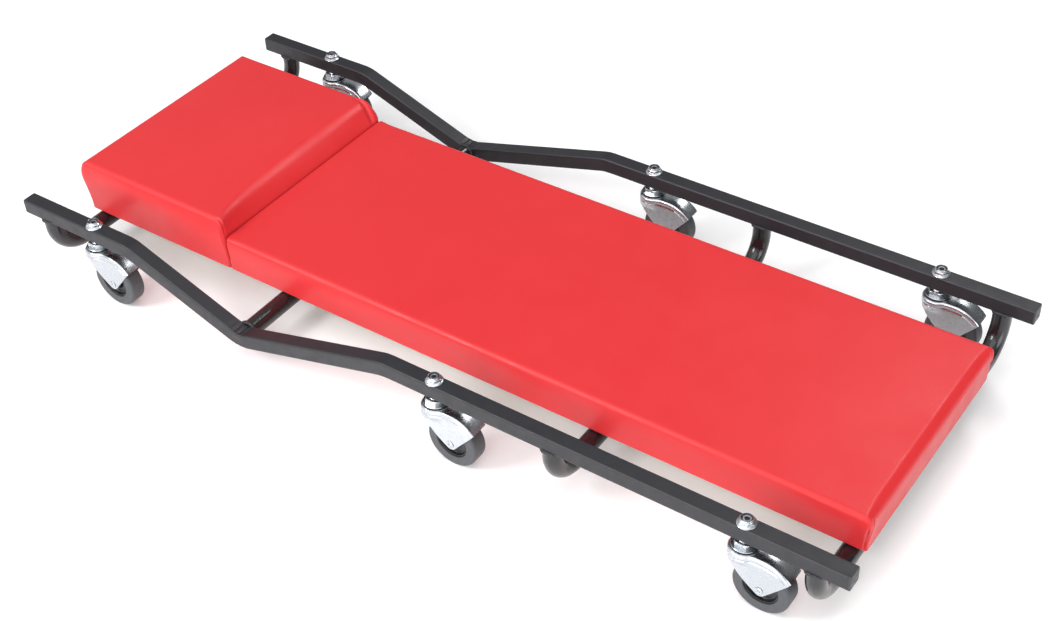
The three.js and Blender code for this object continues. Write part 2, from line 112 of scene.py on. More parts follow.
def rounded(corners, closed=True, steps=4):
    """A 2-D outline through (a, b, radius) corners, each rounded by an arc of that radius."""
    outline = []
    for i, (a, b, radius) in enumerate(corners):
        corner = Vector((a, b))
        if radius == 0 or (not closed and i in (0, len(corners) - 1)):
            outline.append(tuple(corner))
            continue
        back = (Vector(corners[i - 1][:2]) - corner).normalized()
        ahead = (Vector(corners[(i + 1) % len(corners)][:2]) - corner).normalized()
        half = back.angle(ahead) / 2
        centre = corner + (back + ahead).normalized() * radius / math.sin(half)
        start = corner + back * radius / math.tan(half) - centre
        end = corner + ahead * radius / math.tan(half) - centre
        turn = math.atan2(start.x * end.y - start.y * end.x, start.dot(end))
        for step in range(steps + 1):
            c, s = math.cos(turn * step / steps), math.sin(turn * step / steps)
            spoke = Vector((c * start.x - s * start.y, s * start.x + c * start.y))
            outline.append(tuple(centre + spoke))
    return outline


def square_section(half, corner, arc_steps=4, flat_steps=10):
    """A rounded square round the origin, with points along its flats as well."""
    outline = []
    arcs = [(1, 1, 0), (-1, 1, 90), (-1, -1, 180), (1, -1, 270)]
    for a, b, start in arcs:
        for step in range(arc_steps + 1):
            angle = math.radians(start + 90 * step / arc_steps)
            x = a * (half - corner) + corner * math.cos(angle)
            y = b * (half - corner) + corner * math.sin(angle)
            outline.append((x, y))
    dense = []
    for i, here in enumerate(outline):
        ahead = outline[(i + 1) % len(outline)]
        is_flat = i % (arc_steps + 1) == arc_steps
        steps = flat_steps if is_flat else 1
        for step in range(steps):
            share = step / steps
            dense.append((here[0] + (ahead[0] - here[0]) * share, here[1] + (ahead[1] - here[1]) * share))
    return np.array(dense)


def circle_section(radius, sides):
    angles = np.linspace(0, 2 * math.pi, sides, endpoint=False)
    return np.stack([radius * np.cos(angles), radius * np.sin(angles)], axis=1)


def smooth(share):
    """0 to 1 with soft ends."""
    share = np.clip(share, 0, 1)
    return share * share * (3 - 2 * share)


# ---- meshes


def grid_faces(rows, columns, wrap_rows=False, wrap_columns=True):
    faces = []
    for r in range(rows if wrap_rows else rows - 1):
        for c in range(columns if wrap_columns else columns - 1):
            r2, c2 = (r + 1) % rows, (c + 1) % columns
            faces.append((r * columns + c, r * columns + c2, r2 * columns + c2, r2 * columns + c))
    return faces


def mesh_from(name, vertices, faces, sharp=40):
    """A welded mesh facing out, smooth but for edges sharper than `sharp` degrees."""
    mesh = bpy.data.meshes.new(name)
    mesh.from_pydata([tuple(map(float, v)) for v in vertices], [], faces)
    work = bmesh.new()
    work.from_mesh(mesh)
    bmesh.ops.remove_doubles(work, verts=work.verts, dist=1e-7)
    bmesh.ops.dissolve_degenerate(work, edges=work.edges, dist=1e-7)
    bmesh.ops.recalc_face_normals(work, faces=work.faces)
    work.to_mesh(mesh)
    work.free()
    mesh.shade_smooth()
    mesh.set_sharp_from_angle(angle=math.radians(sharp))
    return mesh


def joined(parts):
    """Vertices and faces of several (vertices, faces) parts as one."""
    vertices, faces = [], []
    for part_vertices, part_faces in parts:
        start = len(vertices)
        vertices.extend(part_vertices)
        faces.extend(tuple(start + i for i in face) for face in part_faces)
    return vertices, faces


def turned(profile, sides, closed=True):
    """A solid of revolution about +Z. A profile that isn't closed starts and ends on the axis."""
    profile = np.array(profile)
    angles = np.linspace(0, 2 * math.pi, sides, endpoint=False)
    rings = [
        np.column_stack([r * np.cos(angles), r * np.sin(angles), np.full(sides, z)])
        for r, z in profile
    ]
    return np.concatenate(rings), grid_faces(len(profile), sides, wrap_rows=closed)


def hexagonal(rings, across_flats, sides=72, closed=True):
    """Like turned, but each ring is (radius, height, share of hexagon), and a hexagon's flats cut it."""
    angles = np.linspace(0, 2 * math.pi, sides, endpoint=False)
    flat = across_flats / 2 / np.cos((angles % (math.pi / 3)) - math.pi / 6)
    points = []
    for radius, height, share in rings:
        reach = np.minimum(radius, flat) * share + radius * (1 - share)
        x, y = reach * np.cos(angles), reach * np.sin(angles)
        points.append(np.column_stack([x, y, np.full(sides, height)]))
    return np.concatenate(points), grid_faces(len(rings), sides, wrap_rows=closed)


def swept(stations, section):
    """Rings of a section carried along (point, across, up) stations."""
    return [point + section[:, :1] * across + section[:, 1:] * up for point, across, up in stations]


def hollow(outer_rings, inner_rings):
    """A tube wall between two sets of rings, closed at both ends."""
    rings = outer_rings + inner_rings[::-1]
    return np.concatenate(rings), grid_faces(len(rings), len(rings[0]), wrap_rows=True)


def add_piece(name, mesh, look, *nodes, body="frame", place=None):
    """Puts a mesh into the scene as a piece of the object that stands for the nodes, on its body."""
    finish, slot = FINISHES[look]
    piece = bpy.data.objects.new(name, mesh)
    bpy.context.scene.collection.objects.link(piece)
    if place is not None:
        piece.matrix_world = place
    mesh.materials.clear()
    mesh.materials.append(finish)
    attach(piece, body)
    if nodes:
        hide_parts(*nodes)
    return piece


def with_thickness(mesh, thickness, sharp=40):
    """The sheet given a thickness inwards, with its rims closed."""
    holder = bpy.data.objects.new("holder", mesh)
    bpy.context.scene.collection.objects.link(holder)
    solidify = holder.modifiers.new("thickness", "SOLIDIFY")
    solidify.thickness = thickness
    solidify.offset = -1
    solidify.use_even_offset = True
    solidify.use_quality_normals = True
    depsgraph = bpy.context.evaluated_depsgraph_get()
    made = bpy.data.meshes.new_from_object(holder.evaluated_get(depsgraph))
    bpy.data.objects.remove(holder)
    made.shade_smooth()
    made.set_sharp_from_angle(angle=math.radians(sharp))
    return made


# ---- finishes


def set_range(node, *numbers):
    """Sets a map range node's from-low, from-high, to-low and to-high."""
    node.interpolation_type = "SMOOTHSTEP"
    for socket, number in zip(("From Min", "From Max", "To Min", "To Max"), numbers):
        node.inputs[socket].default_value = number


class Finish:
    """A procedural material with helpers that work detail into its colour, roughness and surface."""

    def __init__(self, name, colour, roughness, metallic=0.0):
        self.material = bpy.data.materials.new(name)
        self.material.use_nodes = True
        self.tree = self.material.node_tree
        self.shader = self.tree.nodes["Principled BSDF"]
        self.colour = self.value_colour(colour)
        self.set("Metallic", metallic)
        self.set("Roughness", roughness)
        self.link(self.colour, self.shader.inputs["Base Color"])
        self.surface = None
        self.places = self.node("ShaderNodeTexCoord").outputs["Object"]

    def node(self, kind, **settings):
        made = self.tree.nodes.new(kind)
        for key, value in settings.items():
            setattr(made, key, value)
        return made

    def link(self, output, socket):
        self.tree.links.new(output, socket)

    def set(self, socket, value):
        self.shader.inputs[socket].default_value = value

    def value_colour(self, colour):
        made = self.node("ShaderNodeRGB")
        made.outputs[0].default_value = (*colour, 1)
        return made.outputs[0]

    def stretched(self, scale):
        mapping = self.node("ShaderNodeMapping")
        mapping.inputs["Scale"].default_value = scale
        self.link(self.places, mapping.inputs["Vector"])
        return mapping.outputs[0]

    def noise(self, scale, detail=4.0, stretch=(1, 1, 1), rough=0.55):
        made = self.node("ShaderNodeTexNoise")
        made.inputs["Scale"].default_value = scale
        made.inputs["Detail"].default_value = detail
        made.inputs["Roughness"].default_value = rough
        self.link(self.stretched(stretch), made.inputs["Vector"])
        return made.outputs["Fac"]

    def cells(self, scale, feature="F1"):
        made = self.node("ShaderNodeTexVoronoi", feature=feature)
        made.inputs["Scale"].default_value = scale
        self.link(self.places, made.inputs["Vector"])
        return made.outputs["Distance"]

    def ramp(self, value, low, high, to_low=0.0, to_high=1.0):
        made = self.node("ShaderNodeMapRange")
        set_range(made, low, high, to_low, to_high)
        self.link(value, made.inputs["Value"])
        return made.outputs["Result"]

    def tint(self, share, colour):
        """Mixes another colour in by the share."""
        made = self.node("ShaderNodeMix", data_type="RGBA")
        self.link(share, made.inputs["Factor"])
        self.link(self.colour, made.inputs["A"])
        made.inputs["B"].default_value = (*colour, 1)
        self.colour = made.outputs["Result"]
        self.link(self.colour, self.shader.inputs["Base Color"])
        return self

    def rough(self, value, low, high):
        """Roughness from low to high as the value goes from 0.3 to 0.7."""
        self.link(self.ramp(value, 0.3, 0.7, low, high), self.shader.inputs["Roughness"])
        return self

    def stain(self, value, low, high, most, colour):
        """Tints where the value rises from low to high, by `most` at the top."""
        return self.tint(self.ramp(value, low, high, 0, most), colour)

    def bump(self, height, distance, strength=1.0):
        made = self.node("ShaderNodeBump")
        made.inputs["Distance"].default_value = distance
        made.inputs["Strength"].default_value = strength
        self.link(height, made.inputs["Height"])
        if self.surface:
            self.link(self.surface, made.inputs["Normal"])
        self.surface = made.outputs[0]
        self.link(self.surface, self.shader.inputs["Normal"])
        return self

    def crevice(self, reach):
        """1 in the open, falling towards 0 deep in creases narrower than the reach."""
        made = self.node("ShaderNodeAmbientOcclusion", samples=6)
        made.inputs["Distance"].default_value = reach
        return made.outputs["AO"]

    def facing_up(self):
        """The normal's Z: 1 on faces that look up, 0 on sides and -1 on undersides."""
        geometry = self.node("ShaderNodeNewGeometry")
        parts = self.node("ShaderNodeSeparateXYZ")
        self.link(geometry.outputs["Normal"], parts.inputs[0])
        return parts.outputs["Z"]

    def times(self, a, b):
        made = self.node("ShaderNodeMath", operation="MULTIPLY")
        self.link(a, made.inputs[0])
        if isinstance(b, (int, float)):
            made.inputs[1].default_value = b
        else:
            self.link(b, made.inputs[1])
        return made.outputs[0]


def red_vinyl():
    finish = Finish("red_vinyl", (0.62, 0.022, 0.026), 0.42)
    finish.stain(finish.noise(7, 5), 0.42, 0.72, 0.35, (0.66, 0.029, 0.033))
    finish.tint(finish.ramp(finish.cells(900), 0.0, 0.25, 0.25, 0), (0.50, 0.014, 0.016))
    # painted shade: the colour darkens toward deep red in creases and in the valley between the cushions,
    # where shade falls
    finish.tint(finish.ramp(finish.crevice(9 * MM), 0.2, 0.95, 0.5, 0), (0.36, 0.008, 0.01))
    finish.rough(finish.noise(24, 6), 0.34, 0.46)
    finish.bump(finish.noise(11, 3), 0.0006, 0.5)
    finish.bump(finish.cells(850, "SMOOTH_F1"), 0.0002, 0.5)
    finish.bump(finish.noise(2300, 2), 0.00005, 0.6)
    finish.set("Specular IOR Level", 0.34)
    finish.set("Sheen Weight", 0.04)
    return finish.material


def satin_black():
    finish = Finish("satin_black_paint", (0.0085, 0.0085, 0.0125), 0.45)
    dust = finish.times(finish.facing_up(), finish.ramp(finish.noise(30, 6), 0.5, 0.8, 0, 0.08))
    finish.tint(finish.ramp(dust, 0, 1), (0.07, 0.07, 0.085))
    finish.stain(finish.noise(420, 5, rough=0.7), 0.62, 0.72, 0.7, (0.045, 0.045, 0.055))
    finish.rough(finish.noise(60, 5), 0.42, 0.54)
    finish.set("Specular IOR Level", 0.62)
    finish.bump(finish.noise(620, 3), 0.00011, 0.6)
    return finish.material


def gloss_black():
    finish = Finish("gloss_black_paint", (0.010, 0.0095, 0.011), 0.2)
    finish.stain(finish.noise(40, 6), 0.5, 0.8, 0.25, (0.035, 0.035, 0.04))
    finish.rough(finish.noise(90, 5), 0.14, 0.3)
    finish.bump(finish.noise(520, 3), 0.00009, 0.6)
    finish.set("Coat Weight", 0.3)
    finish.set("Coat Roughness", 0.1)
    return finish.material


def bright_zinc():
    finish = Finish("zinc_plate", (0.58, 0.61, 0.645), 0.24, 1.0)
    finish.stain(finish.noise(55, 5), 0.5, 0.8, 0.5, (0.47, 0.52, 0.58))
    finish.stain(finish.noise(130, 6, rough=0.7), 0.62, 0.75, 0.3, (0.42, 0.41, 0.40))
    finish.rough(finish.noise(160, 6), 0.2, 0.32)
    finish.bump(finish.noise(700, 2, (1, 1, 0.12)), 0.00002, 0.5)
    finish.bump(finish.noise(90, 3), 0.00004, 0.5)
    return finish.material


def dark_steel():
    finish = Finish("dark_steel", (0.30, 0.31, 0.33), 0.34, 1.0)
    finish.tint(finish.ramp(finish.noise(240, 5), 0.5, 0.75), (0.13, 0.13, 0.14))
    finish.rough(finish.noise(300, 5), 0.26, 0.45)
    finish.bump(finish.noise(1200, 2, (1, 1, 0.1)), 0.00003, 0.6)
    return finish.material


def tyre_rubber():
    finish = Finish("tyre_rubber", (0.062, 0.064, 0.070), 0.5)
    finish.stain(finish.noise(150, 6, rough=0.7), 0.5, 0.8, 0.6, (0.12, 0.12, 0.125))
    finish.rough(finish.noise(180, 5), 0.42, 0.62)
    finish.bump(finish.noise(1500, 3), 0.00005, 0.7)
    finish.bump(finish.noise(120, 2), 0.00015, 0.4)
    return finish.material


def hub_plastic():
    finish = Finish("hub_plastic", (0.010, 0.010, 0.012), 0.3)
    finish.stain(finish.noise(200, 5), 0.55, 0.8, 0.5, (0.03, 0.03, 0.033))
    finish.rough(finish.noise(240, 4), 0.22, 0.42)
    finish.bump(finish.noise(1100, 2), 0.00003, 0.6)
    return finish.material


def cap_plastic():
    finish = Finish("cap_plastic", (0.038, 0.038, 0.042), 0.48)
    finish.stain(finish.noise(260, 6, rough=0.7), 0.6, 0.75, 0.7, (0.075, 0.075, 0.08))
    finish.rough(finish.noise(200, 5), 0.4, 0.58)
    finish.bump(finish.cells(1300), 0.00006, 0.6)
    return finish.material


def nylon():
    finish = Finish("nut_nylon", (0.035, 0.042, 0.055), 0.45)
    finish.rough(finish.noise(500, 3), 0.36, 0.55)
    finish.stain(finish.noise(600, 4), 0.5, 0.75, 0.5, (0.08, 0.09, 0.11))
    finish.bump(finish.noise(1800, 2), 0.00003, 0.6)
    return finish.material


def plywood():
    """Pale veneer on the faces, darker cross plies on the cut edges."""
    finish = Finish("plywood", (0.52, 0.42, 0.30), 0.68)
    grain = finish.noise(9, 8, (1, 9, 1), 0.62)
    finish.stain(grain, 0.42, 0.62, 0.75, (0.38, 0.27, 0.165))
    finish.tint(finish.ramp(finish.noise(260, 4, (0.06, 1, 1)), 0.55, 0.7, 0, 0.5), (0.28, 0.18, 0.10))
    height = finish.node("ShaderNodeSeparateXYZ")
    finish.link(finish.places, height.inputs[0])
    plies = finish.node("ShaderNodeMath", operation="SINE")
    finish.link(finish.times(height.outputs["Z"], math.pi / (2.4 * MM)), plies.inputs[0])
    up = finish.node("ShaderNodeMath", operation="ABSOLUTE")
    finish.link(finish.facing_up(), up.inputs[0])
    edge = finish.ramp(up.outputs[0], 0.1, 0.5, 1, 0)
    finish.tint(finish.times(edge, finish.ramp(plies.outputs[0], -0.3, 0.3)), (0.24, 0.12, 0.05))
    finish.rough(grain, 0.6, 0.8)
    finish.bump(grain, 0.0003, 0.6)
    return finish.material


def foam():
    finish = Finish("foam", (0.78, 0.68, 0.42), 0.95)
    finish.tint(finish.ramp(finish.cells(650), 0.0, 0.5, 0.7, 0), (0.50, 0.40, 0.20))
    finish.rough(finish.noise(300, 3), 0.88, 1.0)
    finish.bump(finish.cells(650), 0.0006, 0.7)
    return finish.material


FINISHES = {  # each look's material and the name of its slot
    "vinyl": (red_vinyl(), "red_vinyl"),
    "rail": (satin_black(), "black_paint"),
    "tube": (gloss_black(), "gloss_black_paint"),
    "zinc": (bright_zinc(), "zinc"),
    "steel": (dark_steel(), "dark_steel"),
    "tyre": (tyre_rubber(), "black_rubber"),
    "hub": (hub_plastic(), "black_rubber"),
    "cap": (cap_plastic(), "cap_plastic"),
    "nylon": (nylon(), "zinc"),
    "plywood": (plywood(), "plywood"),
    "foam": (foam(), "foam"),
}


# ---- tube centre lines


class BentLine:
    """Straight runs joined by arcs of one radius, measured by the distance along them."""

    def __init__(self, corners, radius):
        self.runs = []  # (length, start, direction, centre or None)
        self.bends = []  # (distance at the middle, inward direction)
        self.length = 0
        corners = [Vector(c) for c in corners]
        here = corners[0]
        for i in range(1, len(corners) - 1):
            arriving = (corners[i] - corners[i - 1]).normalized()
            leaving = (corners[i + 1] - corners[i]).normalized()
            angle = arriving.angle(leaving)
            start = corners[i] - arriving * radius * math.tan(angle / 2)
            inward = (leaving - arriving * leaving.dot(arriving)).normalized()
            self.add_run((start - here).length, here, arriving, None)
            self.bends.append((self.length + radius * angle / 2, (leaving - arriving).normalized()))
            self.add_run(radius * angle, start, arriving, start + inward * radius)
            here = corners[i] + leaving * radius * math.tan(angle / 2)
        self.add_run((corners[-1] - here).length, here, (corners[-1] - here).normalized(), None)

    def add_run(self, length, start, direction, centre):
        self.runs.append((length, start, direction, centre))
        self.length += length

    def at(self, distance):
        """The point and direction at a distance along the line."""
        for i, (length, start, direction, centre) in enumerate(self.runs):
            if distance <= length or i == len(self.runs) - 1:
                break
            distance -= length
        if centre is None:
            return start + direction * distance, direction
        spoke = start - centre
        turn = Matrix.Rotation(distance / spoke.length, 3, spoke.cross(direction))
        return centre + turn @ spoke, turn @ direction

    def stations(self, distances, across):
        found = []
        for distance in distances:
            point, direction = self.at(distance)
            found.append((np.array(point), np.array(across), np.array(direction.cross(Vector(across)))))
        return found


# ---- rails, caps and cross tubes

rail_low, rail_high = low_high("side_rail_left")
RAIL_SIZE = rail_high[1] - rail_low[1]
RAIL_TOP = rail_high[2]
RAIL_BOTTOM = RAIL_TOP - RAIL_SIZE
RAIL_LEVEL = RAIL_TOP - RAIL_SIZE / 2
RAIL_Y = middle("side_rail_left")[1]
DIP_LOW = middle("cross_tube_waist")[0]
BODY_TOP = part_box("body_cover")[1].z


def rail_line(sign):
    corners = [
        (rail_low[0], RAIL_LEVEL),
        (DIP_START, RAIL_LEVEL),
        (DIP_LOW, DIP_HEIGHT),
        (DIP_END, RAIL_LEVEL),
        (rail_high[0], RAIL_LEVEL),
    ]
    return BentLine([(x, sign * RAIL_Y, z) for x, z in corners], RAIL_BEND)


def crushed(ring, section, offset, depth, inside):
    """Dishes and wrinkles the wall on the inside of a bend, `offset` away from the bend's middle."""
    half = RAIL_SIZE / 2
    across, up = section[:, 0] / half, section[:, 1] / half * inside
    window = math.exp(-((offset / CRUSH_REACH) ** 2))
    wrinkle = 0.62 + 0.38 * math.cos(2 * math.pi * offset / CRUSH_PITCH)
    dish = depth * window * wrinkle * smooth((up - 0.6) / 0.4) * (1 - np.abs(across) ** 3)
    on_side = np.sign(across) * smooth((np.abs(across) - 0.7) / 0.3)
    ring[:, 2] -= inside * dish
    ring[:, 1] += 0.5 * MM * window * smooth((up + 0.2) / 0.8) * on_side
    return ring


def side_rail(sign):
    line = rail_line(sign)
    spots = {0.0, line.length}
    for bend, _ in line.bends:
        spots.update(bend + np.arange(-30, 30.5, 1.0) * MM)
    spots.update(np.linspace(0, line.length, 90))
    distances = sorted(spots)
    stations = line.stations(distances, (0, 1, 0))
    section = square_section(RAIL_SIZE / 2, RAIL_CORNER)
    bore = square_section(RAIL_SIZE / 2 - RAIL_WALL, RAIL_CORNER / 2)
    outer, inner = swept(stations, section), swept(stations, bore)
    for bend, inward in line.bends:
        inside = 1 if inward.z > 0 else -1
        depth = CRUSH_DEPTH if inside > 0 else CRUSH_DEPTH * 0.6
        for distance, wall, lining in zip(distances, outer, inner):
            if abs(distance - bend) < 3 * CRUSH_REACH:
                crushed(wall, section, distance - bend, depth, inside)
                crushed(lining, section, distance - bend, depth, inside)
    return mesh_from("side_rail", *hollow(outer, inner), sharp=60)


def end_cap(facing):
    """A domed plastic cap on its plug; `facing` is the side it looks to along X."""
    plug = 1 - 2.2 * RAIL_WALL / RAIL_SIZE
    rings = [(0, -12), (plug * 0.9, -12), (plug, -11), (plug, 0), (0.985, 0), (1, 0.25), (1, 1.0)]
    shoulder = np.radians((20, 45, 70, 90))
    rings += [(1 - 0.09 * (1 - math.cos(a)), 1 + 0.95 * math.sin(a)) for a in shoulder]
    rings += [(share, 1.95 + 0.5 * (0.91**2 - share**2)) for share in (0.8, 0.6, 0.4, 0.2, 0)]
    section = square_section(RAIL_SIZE / 2, RAIL_CORNER, flat_steps=5)
    points = [
        np.column_stack([np.full(len(section), facing * height * MM), section * scale])
        for scale, height in rings
    ]
    return mesh_from("end_cap", np.concatenate(points), grid_faces(len(rings), len(section)), sharp=50)


def bead(loop, radius):
    """A rippled weld bead along a closed loop of points."""
    loop = np.array(loop)
    count = len(loop)
    ahead, behind = np.roll(loop, -1, axis=0), np.roll(loop, 1, axis=0)
    tangents = ahead - behind
    tangents /= np.linalg.norm(tangents, axis=1)[:, None]
    middle_point = loop.mean(axis=0)
    travelled = np.cumsum(np.linalg.norm(ahead - loop, axis=1))
    section = circle_section(1, 12)
    rings = []
    for i in range(count):
        out = loop[i] - middle_point
        out -= tangents[i] * out.dot(tangents[i])
        out /= np.linalg.norm(out)
        side = np.cross(tangents[i], out)
        wave = 0.10 * math.cos(2 * math.pi * travelled[i] / BEAD_PITCH)
        ripple = 1 + wave + 0.05 * rng.standard_normal()
        rings.append(loop[i] + radius * ripple * (section[:, :1] * out + section[:, 1:] * side))
    return np.concatenate(rings), grid_faces(count, len(section), wrap_rows=True)


def bead_at_rail(x, sign, radius):
    """Round the top of a U tube, where it meets the underside of the rail."""
    angles = np.linspace(0, 2 * math.pi, 160, endpoint=False)
    reach = RAIL_SIZE / 2 - 0.4 * MM
    return [
        (
            x + radius * math.cos(a),
            sign * RAIL_Y + float(np.clip(radius * math.sin(a), -reach, reach)),
            RAIL_BOTTOM - 0.5 * MM,
        )
        for a in angles
    ]


def bead_at_waist(x, sign, height, radius):
    """Round the end of the waist tube, against the inner wall of the rail and over its top edge."""
    angles = np.linspace(0, 2 * math.pi, 160, endpoint=False)
    wall = sign * (RAIL_Y - RAIL_SIZE / 2)
    return [
        (x + radius * math.cos(a), wall - sign * 0.6 * MM, height + radius * math.sin(a)) for a in angles
    ]


def cross_tube(corners, radius, bend):
    line = BentLine(corners, bend)
    distances = set(np.linspace(0, line.length, 60))
    for middle_distance, _ in line.bends:
        distances.update(middle_distance + np.linspace(-1, 1, 33) * bend * math.pi / 4)
    stations = line.stations(sorted(distances), (1, 0, 0))
    outer = swept(stations, circle_section(radius, 48))
    inner = swept(stations, circle_section(radius - TUBE_WALL, 48))
    return mesh_from("cross_tube", *hollow(outer, inner))


def add_welds(where, loop_at):
    """One bead on each side; `loop_at` gives its loop for the sign of the side."""
    for side, sign in SIDES.items():
        mesh = mesh_from("bead", *bead(loop_at(sign), BEAD_RADIUS), sharp=70)
        add_piece(f"weld_{where}_{side}", mesh, "rail")


def build_frame():
    for side, sign in SIDES.items():
        add_piece(f"rail_{side}", side_rail(sign), "rail", f"side_rail_{side}")
        for end, facing in {"head": -1, "foot": 1}.items():
            rail_end = rail_low[0] if facing < 0 else rail_high[0]
            place = Matrix.Translation((rail_end, sign * RAIL_Y, RAIL_LEVEL))
            node = f"rail_end_cap_{end}_{side}"
            add_piece(f"cap_{end}_{side}", end_cap(facing), "cap", node, place=place)
    for where in U_TUBE_PLACES:
        low, high = low_high(f"cross_tube_{where}")
        x, radius = (low[0] + high[0]) / 2, (high[0] - low[0]) / 2
        level, top = low[2] + radius, high[2]
        corners = [(x, -RAIL_Y, top), (x, -RAIL_Y, level), (x, RAIL_Y, level), (x, RAIL_Y, top)]
        mesh = cross_tube(corners, radius, TUBE_BEND)
        add_piece(f"tube_{where}", mesh, "tube", f"cross_tube_{where}")
        add_welds(where, lambda sign: bead_at_rail(x, sign, radius))
    low, high = low_high("cross_tube_waist")
    radius, level = (high[2] - low[2]) / 2, (low[2] + high[2]) / 2
    line = [(DIP_LOW, y, level) for y in (low[1], 0, high[1])]
    add_piece("tube_waist", cross_tube(line, radius, TUBE_BEND), "tube", "cross_tube_waist")
    add_welds("waist", lambda sign: bead_at_waist(DIP_LOW, sign, level, radius))


# ---- pad


def graded(low, high, fine, coarse, growth=1.22):
    """Grid lines that are close together at both ends and grow apart towards the middle."""
    steps = [fine]
    while steps[-1] < coarse:
        steps.append(min(coarse, steps[-1] * growth))
    edge = np.cumsum(steps)
    length = high - low
    edge = edge[edge < length * 0.45]
    gap = length - 2 * edge[-1]
    count = max(2, round(gap / min(coarse, steps[len(edge) - 1] * growth)))
    inside = np.linspace(edge[-1], length - edge[-1], count + 1)
    return low + np.concatenate([[0], edge[:-1], inside, length - edge[:-1][::-1], [length]])


def box_grid(xs, ys, zs, hem_steps=None):
    """Points and faces of a box's top and sides; hem_steps turns the bottom in by those distances,
    and without them the bottom is closed."""
    m, n = len(xs), len(ys)
    grid = np.array([(x, y, zs[-1]) for x in xs for y in ys])
    faces = grid_faces(m, n, wrap_columns=False)
    loop = [(i, 0) for i in range(m)] + [(m - 1, j) for j in range(1, n)]
    loop += [(i, n - 1) for i in range(m - 2, -1, -1)] + [(0, j) for j in range(n - 2, 0, -1)]
    previous = [i * n + j for i, j in loop]
    points = [grid]
    count = len(grid)

    def add_ring(ring):
        nonlocal previous, count
        points.append(np.array(ring))
        current = list(range(count, count + len(ring)))
        for k in range(len(loop)):
            k2 = (k + 1) % len(loop)
            faces.append((previous[k], previous[k2], current[k2], current[k]))
        previous = current
        count += len(ring)

    for z in zs[-2::-1]:
        add_ring([(xs[i], ys[j], z) for i, j in loop])
    for inset in hem_steps or []:
        ring = []
        for i, j in loop:
            x = min(max(xs[i], xs[0] + inset), xs[-1] - inset)
            y = min(max(ys[j], ys[0] + inset), ys[-1] - inset)
            ring.append((x, y, zs[0]))
        add_ring(ring)
    if hem_steps is None:
        start = count
        points.append(np.array([(x, y, zs[0]) for x in xs for y in ys]))
        bottom = grid_faces(m, n, wrap_columns=False)
        faces.extend(tuple(start + i for i in face[::-1]) for face in bottom)
    return np.concatenate(points), faces


def softened(points, low, high, radii):
    """Rounds the edges of a box; radii holds the rounding along X, Y and Z at each point."""
    centre, half = (low + high) / 2, (high - low) / 2
    at = points - centre
    core = np.clip(at, -(half - radii), half - radii)
    spoke = (at - core) / radii
    length = np.linalg.norm(spoke, axis=1)[:, None]
    return centre + core + np.where(length > 1e-9, spoke / np.maximum(length, 1e-9), 0) * radii


